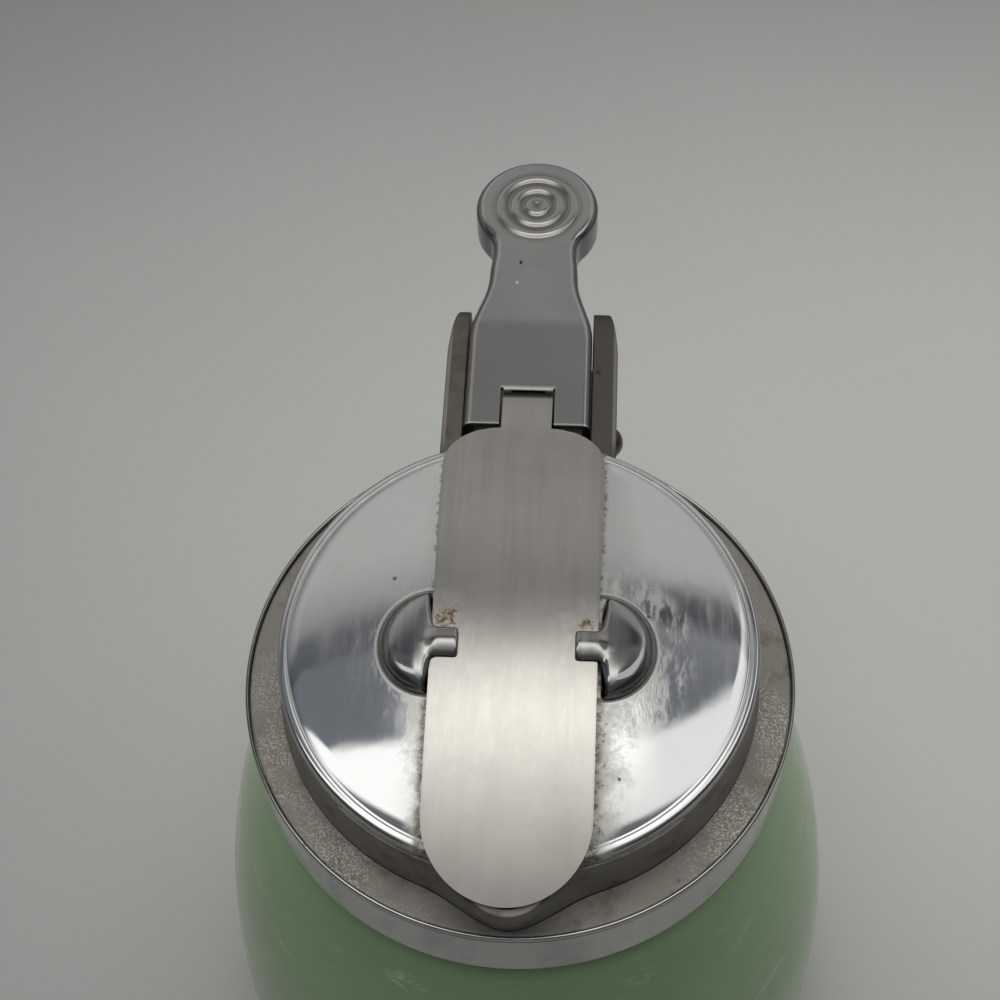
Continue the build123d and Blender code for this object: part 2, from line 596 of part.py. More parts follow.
def lever_blank():
    """Flat top with down-turned edges and the pad's rings, before the neck is bent."""
    body = Pos(0, 0, LEVER_TOP_Z - LEVER_SKIRT) * extrude(lever_outline(), amount=LEVER_SKIRT)
    top_edges = body.edges().filter_by_position(Axis.Z, LEVER_TOP_Z - LEVEL_MATCH, LEVER_TOP_Z + LEVEL_MATCH)
    round_edges = ShapeList(edge for edge in top_edges if edge.center().Y > LEVER_FRONT + LEVEL_MATCH)
    body = fillet(round_edges, LEVER_EDGE_ROUND)
    hollow = extrude(lever_outline(LEVER_SHEET, LEVER_FRONT_OVERRUN), amount=LEVER_SKIRT + OVERCUT)
    body -= Pos(0, 0, LEVER_UNDERSIDE - LEVER_SKIRT - OVERCUT) * hollow
    # The edges are shallower round the pad than along the body.
    step_start = LEVER_NECK - PAD_SKIRT_START
    past_pad = PAD_CENTRE + PAD_RADIUS + OVERCUT
    with BuildSketch() as relief:
        with BuildLine():
            Polyline(
                (step_start, LEVER_TOP_Z - LEVER_SKIRT - OVERCUT),
                (past_pad, LEVER_TOP_Z - LEVER_SKIRT - OVERCUT),
                (past_pad, LEVER_TOP_Z - PAD_SKIRT),
                (PAD_CENTRE - PAD_RADIUS, LEVER_TOP_Z - PAD_SKIRT),
                (step_start, LEVER_TOP_Z - LEVER_SKIRT),
                close=True,
            )
        make_face()
    body -= side_plate(relief.sketch, -2 * PAD_RADIUS, 2 * PAD_RADIUS)
    return body + pad_rings()


def bent_blank():
    """Lever blank with its neck and pad bent down about the bend line, mitred there."""
    blank = lever_blank()
    length = PAD_CENTRE + PAD_RADIUS
    bend_line = Pos(0, LEVER_BEND, LEVER_TOP_Z)
    behind = Pos(0, length / 2, 0) * Box(4 * PAD_RADIUS, length, 4 * LEVER_SKIRT)
    front = blank - bend_line * Rot(-NECK_BEND / 2, 0, 0) * behind
    rear = blank & (bend_line * Rot(NECK_BEND / 2, 0, 0) * behind)
    return front + bend_line * Rot(-NECK_BEND, 0, 0) * bend_line.inverse() * rear


def make_lever():
    """Pressed lever: flat top, down-turned edges, ridged pad, ears to the pin and a tongue for the gate."""
    body = bent_blank()
    notch_length = NOTCH_DEPTH + OVERCUT
    notch = Pos(0, NOTCH_END - notch_length / 2, LEVER_TOP_Z) * Box(NOTCH_WIDTH, notch_length, 4 * LEVER_SHEET)
    body -= notch
    tongue_height = TONGUE_LENGTH + LEVER_SHEET / 2
    tongue = Pos(0, NOTCH_END + LEVER_SHEET / 2, LEVER_UNDERSIDE + LEVER_SHEET / 2 - tongue_height / 2) * Box(
        TONGUE_WIDTH, LEVER_SHEET, tongue_height
    )
    body += tongue
    with BuildSketch() as ear:
        with Locations((PIN_Y, PIN_Z)):
            Circle(EAR_PLATE_EYE)
        upright = LEVER_UNDERSIDE - PIN_Z
        with Locations((PIN_Y, PIN_Z + upright / 2)):
            Rectangle(2 * EAR_PLATE_EYE, upright)
    for side in (1, -1):
        inner = EAR_PLATE_OUTER - LEVER_SHEET
        low, high = sorted((side * inner, side * EAR_PLATE_OUTER))
        body += side_plate(ear.sketch, low, high)
    eye = PIN_RADIUS + PIN_RUNNING_CLEARANCE
    return body - cross_rod(eye, -EAR_PLATE_OUTER - OVERCUT, EAR_PLATE_OUTER + OVERCUT)


def pad_rings():
    """Raised rings and centre button of the thumb pad."""
    top = LEVER_TOP_Z
    sink = LEVER_SHEET / 2
    rings = []
    for radius in PAD_RING_RADII:
        half = PAD_RING_WIDTH / 2
        with BuildLine(Plane.XZ) as section:
            ThreePointArc((radius - half, top), (radius, top + PAD_RING_HEIGHT), (radius + half, top))
            Polyline(
                (radius + half, top), (radius + half, top - sink), (radius - half, top - sink), (radius - half, top)
            )
        rings.append(Pos(0, PAD_CENTRE, 0) * turned(section.line))
    with BuildLine(Plane.XZ) as button:
        side = PAD_BUTTON_RADIUS
        dome_radius = (side**2 + PAD_RING_HEIGHT**2) / (2 * PAD_RING_HEIGHT)
        RadiusArc((0, top + PAD_RING_HEIGHT), (side, top), dome_radius)
        Polyline((side, top), (side, top - sink), (0, top - sink), (0, top + PAD_RING_HEIGHT))
    return Part() + rings + Pos(0, PAD_CENTRE, 0) * turned(button.line)


def make_pin():
    """Cross pin with a domed head on the right and a peened end on the left."""
    head_seat = CHEEK_OUTER + PIN_SIDE_CLEARANCE
    dome_height = PIN_HEAD_HEIGHT - PIN_HEAD_EDGE
    dome_radius = (PIN_HEAD_RADIUS**2 + dome_height**2) / (2 * dome_height)
    head_edge = head_seat + PIN_HEAD_EDGE
    with BuildLine(Plane.XZ) as section:
        Line((0, -head_seat - PIN_PEEN_HEIGHT), (PIN_PEEN_FLAT, -head_seat - PIN_PEEN_HEIGHT))
        Line((PIN_PEEN_FLAT, -head_seat - PIN_PEEN_HEIGHT), (PIN_PEEN_RADIUS, -head_seat))
        Line((PIN_PEEN_RADIUS, -head_seat), (PIN_RADIUS, -head_seat))
        Line((PIN_RADIUS, -head_seat), (PIN_RADIUS, head_seat))
        Line((PIN_RADIUS, head_seat), (PIN_HEAD_RADIUS, head_seat))
        Line((PIN_HEAD_RADIUS, head_seat), (PIN_HEAD_RADIUS, head_edge))
        RadiusArc((PIN_HEAD_RADIUS, head_edge), (0, head_seat + PIN_HEAD_HEIGHT), -dome_radius)
        Line((0, head_seat + PIN_HEAD_HEIGHT), (0, -head_seat - PIN_PEEN_HEIGHT))
    return Pos(0, PIN_Y, PIN_Z) * Rot(0, 90, 0) * turned(section.line)


def make_spring():
    """Torsion spring round the pin: one leg on the bracket's floor, the other under the lever."""
    coil = PIN_RADIUS + SPRING_PIN_CLEARANCE + SPRING_WIRE / 2
    start = math.radians(SPRING_FLOOR_ANGLE + 90)
    finish = math.radians(SPRING_LEVER_ANGLE - 90)
    total = (finish - start) % (2 * math.pi) + 2 * math.pi * SPRING_FULL_TURNS
    rise = SPRING_PITCH / (2 * math.pi)
    x_start = -total * rise / 2
    steps = math.ceil(total / (math.pi / 2))

    def point(turn):
        angle = start + turn
        return Vector(x_start + rise * turn, PIN_Y + coil * math.cos(angle), PIN_Z + coil * math.sin(angle))

    def direction(turn):
        angle = start + turn
        return Vector(rise, -coil * math.sin(angle), coil * math.cos(angle)).normalized()

    floor_end_z = FLOOR_TOP + SPRING_LEG_GAP + SPRING_WIRE / 2
    lever_end_z = LEVER_UNDERSIDE - SPRING_LEG_GAP - SPRING_WIRE / 2
    floor_leg = (point(0).Z - floor_end_z) / direction(0).Z
    lever_leg = (lever_end_z - point(total).Z) / direction(total).Z
    edges = [Line(point(0) - direction(0) * floor_leg, point(0))]
    for step in range(steps):
        here = total * step / steps
        there = total * (step + 1) / steps
        edges += biarc(point(here), direction(here), point(there), direction(there))
    edges.append(Line(point(total), point(total) + direction(total) * lever_leg))
    path = Wire(edges)
    print("spring self gap", round(least_gap(path, SPRING_WIRE, coil), 3))
    section = Plane(origin=path @ 0, z_dir=path % 0) * Circle(SPRING_WIRE / 2)
    return sweep(section, path=path)


def biarc(start, start_way, end, end_way):
    """Two arcs that meet smoothly, from one point and direction to another."""
    span = end - start
    ways = start_way + end_way
    a = 2 * (1 - start_way.dot(end_way))
    b = 2 * span.dot(ways)
    reach = (-b + math.sqrt(b**2 + 4 * a * span.dot(span))) / (2 * a)
    first = start + start_way * reach
    last = end - end_way * reach
    knot = (first + last) * 0.5
    return [TangentArc(start, knot, tangent=start_way), TangentArc(knot, end, tangent=last - first)]


def least_gap(path, wire, coil):
    """Least distance between stretches of the wire that aren't next to each other, less the wire itself."""
    count = 600
    points = [path @ (i / count) for i in range(count + 1)]
    apart = math.ceil(math.pi * coil / (path.length / count))
    gaps = [
        (points[i] - points[j]).length - wire for i in range(0, count, 2) for j in range(i + apart, count + 1)
    ]
    return min(gaps)


def make_handle():
    """Strap handle under the bracket, down behind the jar, with a free inturned end."""
    seat = BRACKET_BOTTOM - HANDLE_THICKNESS / 2
    path = FilletPolyline(
        (0, HANDLE_FRONT, seat),
        (0, HANDLE_BACK, seat),
        (0, HANDLE_BACK, BRACKET_BOTTOM - HANDLE_GRIP_END_DROP),
        (0, HANDLE_TAIL_BACK, BRACKET_BOTTOM - HANDLE_TAIL_DROP),
        radius=[HANDLE_BEND_RADIUS, HANDLE_TAIL_BEND_RADIUS],
    )
    section = Plane(origin=path @ 0, x_dir=(1, 0, 0), z_dir=path % 0) * RectangleRounded(
        HANDLE_WIDTH, HANDLE_THICKNESS, HANDLE_EDGE_ROUND
    )
    handle = sweep(section, path=path)
    screw_hole = SCREW_RADIUS + SCREW_HOLE_CLEARANCE
    return handle - screw_holes(screw_hole, BRACKET_BOTTOM - 2 * HANDLE_THICKNESS, FLOOR_TOP)


def make_handle_screws():
    """Two pan-headed screws from under the handle into the bracket's floor."""
    head_seat = BRACKET_BOTTOM - HANDLE_THICKNESS
    shank = screw_holes(SCREW_RADIUS, head_seat, FLOOR_TOP - SCREW_END_GAP)
    heads = screw_holes(SCREW_HEAD_RADIUS, head_seat - SCREW_HEAD_HEIGHT, head_seat)
    low_edges = heads.edges().filter_by(GeomType.CIRCLE).group_by(Axis.Z)[0]
    return fillet(low_edges, SCREW_HEAD_ROUND) + shank


PARTS = {
    "jar": make_jar,
    "neck_gasket": make_gasket,
    "screw_ring": make_screw_ring,
    "top_casting": make_top_casting,
    "dome_plate": make_dome_plate,
    "gate": make_gate,
    "thumb_lever": make_lever,
    "lever_pin": make_pin,
    "lever_spring": make_spring,
    "handle": make_handle,
    "handle_screws": make_handle_screws,
}

os.makedirs("parts", exist_ok=True)
for name, make in PARTS.items():
    export_step(make(), f"parts/{name}.step")
    print("wrote", name)
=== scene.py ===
"""Looks of a syrup dispenser: pressed glass jar, plated metal top, sliding pour gate, thumb lever, strap handle."""

import logging
import math
from collections.abc import Callable, Iterable, Mapping, Sequence
from dataclasses import dataclass
from enum import Enum
from typing import Any

import bmesh
import bpy
from mathutils import Matrix, Vector
from mathutils.geometry import interpolate_bezier

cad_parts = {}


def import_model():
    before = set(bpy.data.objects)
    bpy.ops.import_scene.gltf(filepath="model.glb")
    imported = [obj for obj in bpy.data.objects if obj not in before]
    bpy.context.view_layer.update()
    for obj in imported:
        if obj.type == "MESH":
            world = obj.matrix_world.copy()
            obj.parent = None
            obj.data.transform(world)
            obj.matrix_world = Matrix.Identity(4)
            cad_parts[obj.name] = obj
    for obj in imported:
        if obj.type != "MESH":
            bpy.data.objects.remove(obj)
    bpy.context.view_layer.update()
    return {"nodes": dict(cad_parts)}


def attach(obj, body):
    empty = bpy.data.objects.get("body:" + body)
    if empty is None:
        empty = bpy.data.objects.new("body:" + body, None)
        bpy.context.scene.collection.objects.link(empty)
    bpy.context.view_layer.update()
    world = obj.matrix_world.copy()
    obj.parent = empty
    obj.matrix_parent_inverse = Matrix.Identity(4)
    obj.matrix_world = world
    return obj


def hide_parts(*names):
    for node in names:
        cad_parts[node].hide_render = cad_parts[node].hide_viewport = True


log = logging.getLogger("syrup_dispenser")

MILLIMETRE = 0.001
Point = Sequence[float]
Colour = tuple[float, float, float]


class Body(Enum):
    """Bodies that the pieces ride on."""

    JAR = "jar"
    TOP = "top"
    RING = "ring"
    LEVER = "lever"
    GATE = "gate"


class Slot(Enum):
    """Material slots that new pieces take their finish from."""

    BRIGHT_PLATE = "bright_plate"
    DULL_CASTING = "dull_casting"
    BRUSHED_STEEL = "brushed_steel"
    PLAIN_STEEL = "plain_steel"


class Side(Enum):
    """Sides of the top, seen from the pouring nose."""

    LEFT = -1
    RIGHT = 1


# ---------------------------------------------------------------- mesh work


class Wire:
    """A chain of edges in millimetres that a piece is spun or filled from."""

    def __init__(self, start: Point) -> None:
        """Starts the chain.

        Args:
            start: first point.
        """
        self.bm = bmesh.new()
        self.first = self.bm.verts.new(start)
        self.last = self.first
        self.corners: list[tuple[bmesh.types.BMVert, float, int]] = []

    def to(self, point: Point, round_by: float = 0.0, segments: int = 4) -> "Wire":
        """Draws a straight run.

        Args:
            point: where the run ends.
            round_by: how far back from that corner its rounding starts.
            segments: number of edges in the rounding.

        Returns:
            The wire itself, so that runs can be chained.
        """
        vert = self.bm.verts.new(point)
        self.bm.edges.new((self.last, vert))
        if round_by:
            self.corners.append((vert, round_by, segments))
        self.last = vert
        return self

    def arc(self, centre: Point, axis: Point, degrees: float, steps: int) -> "Wire":
        """Turns the last point about a centre.

        Args:
            centre: middle of the arc.
            axis: direction that the arc turns about.
            degrees: how far it turns.
            steps: number of edges in it.

        Returns:
            The wire itself.
        """
        spun_to = bmesh.ops.spin(
            self.bm, geom=[self.last], cent=centre, axis=axis, angle=math.radians(degrees), steps=steps
        )
        self.last = next(e for e in spun_to["geom_last"] if isinstance(e, bmesh.types.BMVert))
        return self

    def curve(self, handle_a: Point, handle_b: Point, end: Point, steps: int = 8) -> "Wire":
        """Draws a Bezier run.

        Args:
            handle_a: handle of the last point.
            handle_b: handle of the end point.
            end: where the run ends.
            steps: number of edges in it.

        Returns:
            The wire itself.
        """
        knots = interpolate_bezier(self.last.co, Vector(handle_a), Vector(handle_b), Vector(end), steps + 1)
        for knot in knots[1:]:
            self.to(knot)
        return self

    def closed(self) -> "Wire":
        """Joins the last point to the first."""
        self.bm.edges.new((self.last, self.first))
        return self

    def rounded(self) -> bmesh.types.BMesh:
        """Rounds the marked corners.

        Returns:
            The mesh that holds the chain.
        """
        for vert, reach, segments in self.corners:
            bmesh.ops.bevel(
                self.bm,
                geom=[vert],
                offset=reach,
                offset_type="OFFSET",
                segments=segments,
                profile=0.5,
                affect="VERTICES",
                clamp_overlap=True,
                material=-1,
            )
        self.corners = []
        return self.bm

    def face(self) -> bmesh.types.BMesh:
        """Fills the closed chain with one face.

        Returns:
            The mesh with its face.
        """
        bm = self.rounded()
        bmesh.ops.contextual_create(bm, geom=[*bm.verts, *bm.edges])
        return bm


def spun(wire: Wire, steps: int, centre: Point = (0, 0, 0), axis: Point = (0, 0, 1)) -> bmesh.types.BMesh:
    """Turns a wire once round an axis and closes its seam and poles.

    Args:
        wire: the profile.
        steps: number of steps in a whole turn.
        centre: a point on the axis.
        axis: direction of the axis.

    Returns:
        The turned mesh, facing outwards.
    """
    bm = wire.rounded()
    bmesh.ops.spin(
        bm, geom=[*bm.verts, *bm.edges], cent=centre, axis=axis, angle=math.tau, steps=steps, use_merge=True
    )
    bmesh.ops.remove_doubles(bm, verts=bm.verts, dist=1e-4)
    bmesh.ops.recalc_face_normals(bm, faces=bm.faces)
    return bm


def slice_at(bm: bmesh.types.BMesh, direction: Point, places: Iterable[float]) -> None:
    """Cuts edges across a mesh without removing anything.

    Args:
        bm: the mesh.
        direction: normal of the cutting planes.
        places: how far along the normal each plane lies.
    """
    normal = Vector(direction)
    for place in places:
        geom = [*bm.verts, *bm.edges, *bm.faces]
        bmesh.ops.bisect_plane(bm, geom=geom, dist=1e-5, plane_co=normal * place, plane_no=normal)


def steps_between(start: float, end: float, count: int) -> list[float]:
    """Evenly spaced values between two ends, both left out.

    Args:
        start: lower end.
        end: upper end.
        count: number of spaces.

    Returns:
        The values.
    """
    return [start + (end - start) * i / count for i in range(1, count)]


def thickened(bm: bmesh.types.BMesh, thickness: float) -> None:
    """Gives an open sheet its thickness, away from the side that it faces.

    Args:
        bm: the sheet.
        thickness: how thick it becomes.
    """
    bmesh.ops.recalc_face_normals(bm, faces=bm.faces)
    top = max(bm.faces, key=lambda f: f.calc_center_median().z)
    if top.normal.z < 0:
        bmesh.ops.reverse_faces(bm, faces=bm.faces)
    bmesh.ops.solidify(bm, geom=bm.faces[:], thickness=thickness)


def soften_edges(bm: bmesh.types.BMesh, offset: float, above_degrees: float, segments: int = 2) -> None:
    """Bevels every edge that is sharper than an angle.

    Args:
        bm: the mesh.
        offset: width of the bevel on each side.
        above_degrees: the angle.
        segments: number of faces across the bevel.
    """
    limit = math.radians(above_degrees)
    sharp = [e for e in bm.edges if len(e.link_faces) == 2 and e.calc_face_angle() > limit]
    bmesh.ops.bevel(
        bm,
        geom=sharp,
        offset=offset,
        offset_type="OFFSET",
        segments=segments,
        profile=0.5,
        affect="EDGES",
        clamp_overlap=True,
        material=-1,
    )


def block(bm: bmesh.types.BMesh, low: Point, high: Point, edge: float) -> None:
    """Adds a block with softened edges.

    Args:
        bm: the mesh that it is added to.
        low: its lowest corner.
        high: its highest corner.
        edge: width of the softening.
    """
    size = Vector(high) - Vector(low)
    place = Matrix.Translation((Vector(high) + Vector(low)) / 2) @ Matrix.Diagonal((*size, 1))
    cube = bmesh.ops.create_cube(bm, size=1.0, matrix=place)
    edges = list({e for v in cube["verts"] for e in v.link_edges})
    bmesh.ops.bevel(
        bm, geom=edges, offset=edge, offset_type="OFFSET", segments=2, profile=0.5, affect="EDGES", material=-1
    )


def joined_in(bm: bmesh.types.BMesh, part: bmesh.types.BMesh) -> None:
    """Adds one mesh to another.

    Args:
        bm: the mesh that grows.
        part: the mesh that is added, which is freed.
    """
    mesh = bpy.data.meshes.new("part")
    part.to_mesh(mesh)
    part.free()
    bm.from_mesh(mesh)
    bpy.data.meshes.remove(mesh)


def finished_piece(
    bm: bmesh.types.BMesh,
    name: str,
    material: bpy.types.Material,
    body: Body,
    sharp_degrees: float = 40.0,
) -> bpy.types.Object:
    """Makes an object of a mesh drawn in millimetres, and puts it on its body.

    Args:
        bm: the mesh, which is freed.
        name: name of the piece.
        material: its material.
        body: the body that it rides on.
        sharp_degrees: angle above which an edge is shaded as a crease.

    Returns:
        The object.
    """
    bmesh.ops.scale(bm, vec=(MILLIMETRE,) * 3, verts=bm.verts)
    mesh = bpy.data.meshes.new(name)
    bm.to_mesh(mesh)
    bm.free()
    mesh.shade_smooth()
    mesh.set_sharp_from_angle(angle=math.radians(sharp_degrees))
    mesh.materials.append(material)
    piece = bpy.data.objects.new(name, mesh)
    bpy.context.scene.collection.objects.link(piece)
    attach(piece, body.value)
    log.info("made %s: %d faces", name, len(mesh.polygons))
    return piece


def dress_node(frame: Mapping[str, Any], name: str, material: bpy.types.Material) -> None:
    """Gives a carried-over node its material.

    Args:
        frame: what the frame holds.
        name: the node.
        material: its new material.
    """
    node = frame["nodes"][name]
    for slot in node.material_slots:
        slot.material = material
    log.info("dressed %s with %s", name, material.name)


# ---------------------------------------------------------------- shader work


class Graph:
    """Places and joins the nodes of one tree."""

    def __init__(self, tree: bpy.types.NodeTree) -> None:
        """Keeps the tree.

        Args:
            tree: the node tree that is filled.
        """
        self.tree = tree
        self.placed = 0

    def node(self, kind: str, inputs: Mapping[Any, Any] | None = None, **settings: Any) -> bpy.types.Node:
        """Places a node.

        Args:
            kind: Blender's name of the node type.
            inputs: what each input socket is joined to or set to.
            settings: properties of the node.

        Returns:
            The node.
        """
        node = self.tree.nodes.new(kind)
        node.location = (220 * (self.placed % 12), -260 * (self.placed // 12))
        self.placed += 1
        for key, value in settings.items():
            setattr(node, key, value)
        for key, value in (inputs or {}).items():
            self.feed(node.inputs[key], value)
        return node

    def feed(self, socket: bpy.types.NodeSocket, value: Any) -> None:
        """Joins or sets one input socket.

        Args:
            socket: the input.
            value: an output socket, or a plain value.
        """
        if isinstance(value, bpy.types.NodeSocket):
            self.tree.links.new(value, socket)
        else:
            socket.default_value = value

    def math(self, operation: str, a: Any, b: Any = 0.0, c: Any = 0.0, clamp: bool = False) -> bpy.types.NodeSocket:
        """Places a Math node.

        Args:
            operation: what it does.
            a: first value.
            b: second value.
            c: third value.
            clamp: keeps the result between 0 and 1.

        Returns:
            Its result.
        """
        return self.node("ShaderNodeMath", {0: a, 1: b, 2: c}, operation=operation, use_clamp=clamp).outputs[0]

    def ramp(self, value: Any, low: float, high: float, start: float = 0.0, end: float = 1.0) -> bpy.types.NodeSocket:
        """Fades smoothly between two values.

        Args:
            value: what the fade follows.
            low: where the fade starts.
            high: where it ends.
            start: result at and below the low end.
            end: result at and above the high end.

        Returns:
            The faded value.
        """
        inputs = {"Value": value, "From Min": low, "From Max": high, "To Min": start, "To Max": end}
        return self.node("ShaderNodeMapRange", inputs, interpolation_type="SMOOTHSTEP", clamp=True).outputs[0]

    def window(self, value: Any, low: float, high: float, edge: float) -> bpy.types.NodeSocket:
        """1 between two values and 0 outside them, with soft edges.

        Args:
            value: what the window follows.
            low: middle of the lower edge.
            high: middle of the upper edge.
            edge: width of each edge.

        Returns:
            The window's value.
        """
        rise = self.ramp(value, low - edge / 2, low + edge / 2)
        fall = self.ramp(value, high - edge / 2, high + edge / 2, 1.0, 0.0)
        return self.math("MULTIPLY", rise, fall)

    def mix(self, factor: Any, a: Any, b: Any) -> bpy.types.NodeSocket:
        """Mixes two colours.

        Args:
            factor: share of the second.
            a: first colour.
            b: second colour.

        Returns:
            The mixed colour.
        """
        node = self.node("ShaderNodeMix", data_type="RGBA")
        self.feed(node.inputs["Factor"], factor)
        for socket, value in ((node.inputs[6], a), (node.inputs[7], b)):
            self.feed(socket, (*value, 1.0) if isinstance(value, tuple) and len(value) == 3 else value)
        return node.outputs[2]

    def noise(self, vector: Any, scale: float, detail: float = 3.0, roughness: float = 0.5) -> bpy.types.NodeSocket:
        """Places a Noise Texture.

        Args:
            vector: where it is read.
            scale: its scale.
            detail: its number of octaves.
            roughness: strength of the finer octaves.

        Returns:
            Its value.
        """
        inputs = {"Vector": vector, "Scale": scale, "Detail": detail, "Roughness": roughness}
        return self.node("ShaderNodeTexNoise", inputs).outputs["Fac"]

    def stretched(self, vector: Any, scale: Point, place: Point = (0, 0, 0)) -> bpy.types.NodeSocket:
        """Scales a vector by a Mapping node.

        Args:
            vector: the vector.
            scale: its scale along each axis.
            place: what is added after scaling.

        Returns:
            The scaled vector.
        """
        inputs = {"Vector": vector, "Scale": tuple(scale), "Location": tuple(place)}
        return self.node("ShaderNodeMapping", inputs).outputs[0]

    def group(self, tree: bpy.types.NodeTree, inputs: Mapping[str, Any]) -> bpy.types.Node:
        """Places a node group.

        Args:
            tree: the group.
            inputs: what each of its inputs is joined to or set to.

        Returns:
            The group's node.
        """
        node = self.node("ShaderNodeGroup", node_tree=tree)
        for key, value in inputs.items():
            self.feed(node.inputs[key], value)
        return node


Effect = Callable[[Graph, bpy.types.Node, bpy.types.Node], None]


def effect_group(
    name: str, ins: Mapping[str, Any], outs: Sequence[str], fill: Effect
) -> bpy.types.NodeTree:
    """Builds a shader node group once.

    Args:
        name: name of the group.
        ins: its inputs and their values; None is a vector.
        outs: its outputs, all plain values.
        fill: places its nodes between its input and its output node.

    Returns:
        The group.
    """
    found = bpy.data.node_groups.get(name)
    if found:
        return found
    tree = bpy.data.node_groups.new(name, "ShaderNodeTree")
    for key, value in ins.items():
        kind = "NodeSocketVector" if value is None else "NodeSocketFloat"
        socket = tree.interface.new_socket(name=key, in_out="INPUT", socket_type=kind)
        if value is not None:
            socket.default_value = value
    for key in outs:
        tree.interface.new_socket(name=key, in_out="OUTPUT", socket_type="NodeSocketFloat")
    graph = Graph(tree)
    fill(graph, graph.node("NodeGroupInput"), graph.node("NodeGroupOutput"))
    return tree


def brushed_grain() -> bpy.types.NodeTree:
    """Fine straight lines along the piece, with slow changes of tone.

    Returns:
        The group, with outputs Lines and Tone.
    """

    def fill(g: Graph, into: bpy.types.Node, out: bpy.types.Node) -> None:
        """Joins two stretched noises."""
        fine = g.noise(g.stretched(into.outputs["Vector"], (5200, 130, 900)), 1.0, 3.0, 0.6)
        coarse = g.noise(g.stretched(into.outputs["Vector"], (1400, 60, 300)), 1.0, 2.0)
        lines = g.math("ADD", g.math("MULTIPLY", fine, 0.65), g.math("MULTIPLY", coarse, 0.35))
        lines = g.math("MULTIPLY_ADD", g.math("SUBTRACT", lines, 0.5), into.outputs["Strength"], 0.5)
        g.feed(out.inputs["Lines"], lines)
        g.feed(out.inputs["Tone"], g.noise(g.stretched(into.outputs["Vector"], (90, 45, 60)), 1.0, 2.0))

    return effect_group("brushed_grain", {"Vector": None, "Strength": 1.0}, ("Lines", "Tone"), fill)


def cast_pits() -> bpy.types.NodeTree:
    """Pits and bright grains of worn plating on cast metal.

    Returns:
        The group, with outputs Height, Grains and Stain.
    """

    def fill(g: Graph, into: bpy.types.Node, out: bpy.types.Node) -> None:
        """Joins noise, cells and a slow stain."""
        vector, amount = into.outputs["Vector"], into.outputs["Amount"]
        rough = g.noise(vector, 1900, 4.0, 0.65)
        cells = g.node("ShaderNodeTexVoronoi", {"Vector": vector, "Scale": 1700.0}).outputs["Distance"]
        height = g.math("ADD", g.math("MULTIPLY", rough, 0.6), g.math("MULTIPLY", cells, 0.5))
        g.feed(out.inputs["Height"], g.math("MULTIPLY", height, amount))
        grains = g.ramp(g.noise(vector, 3600, 3.0, 0.7), 0.49, 0.6)
        g.feed(out.inputs["Grains"], g.math("MULTIPLY", grains, amount))
        g.feed(out.inputs["Stain"], g.ramp(g.noise(vector, 260, 4.0, 0.6), 0.5, 0.72))

    return effect_group("cast_pits", {"Vector": None, "Amount": 1.0}, ("Height", "Grains", "Stain"), fill)


def scattered_specks() -> bpy.types.NodeTree:
    """Small separate spots.

    Returns:
        The group, with the output Spots.
    """

    def fill(g: Graph, into: bpy.types.Node, out: bpy.types.Node) -> None:
        """Keeps the middles of some cells."""
        cells = g.node("ShaderNodeTexVoronoi", {"Vector": into.outputs["Vector"], "Scale": into.outputs["Scale"]})
        chosen = g.node("ShaderNodeSeparateColor", {0: cells.outputs["Color"]}).outputs[0]
        near = g.math("LESS_THAN", cells.outputs["Distance"], into.outputs["Size"])
        kept = g.math("LESS_THAN", chosen, into.outputs["Share"])
        g.feed(out.inputs["Spots"], g.math("MULTIPLY", near, kept))

    ins = {"Vector": None, "Scale": 400.0, "Size": 0.2, "Share": 0.2}
    return effect_group("scattered_specks", ins, ("Spots",), fill)


def wiped_haze() -> bpy.types.NodeTree:
    """Patches and wipe marks of a thin film.

    Returns:
        The group, with outputs Patches and Wipes.
    """

    def fill(g: Graph, into: bpy.types.Node, out: bpy.types.Node) -> None:
        """Joins soft patches and stretched marks."""
        vector = into.outputs["Vector"]
        patches = g.ramp(g.noise(vector, 70, 3.0, 0.55), 0.42, 0.7)
        wipes = g.ramp(g.noise(g.stretched(vector, (420, 45, 60)), 1.0, 3.0, 0.6), 0.45, 0.75)
        g.feed(out.inputs["Patches"], patches)
        g.feed(out.inputs["Wipes"], g.math("MULTIPLY", wipes, into.outputs["Amount"]))

    return effect_group("wiped_haze", {"Vector": None, "Amount": 1.0}, ("Patches", "Wipes"), fill)


def object_place(g: Graph) -> tuple[bpy.types.NodeSocket, Sequence[bpy.types.NodeSocket]]:
    """Object coordinates of a material, whole and taken apart.

    Args:
        g: the material's graph.

    Returns:
        The vector, and its x, y and z.
    """
    place = g.node("ShaderNodeTexCoord").outputs["Object"]
    return place, g.node("ShaderNodeSeparateXYZ", {0: place}).outputs


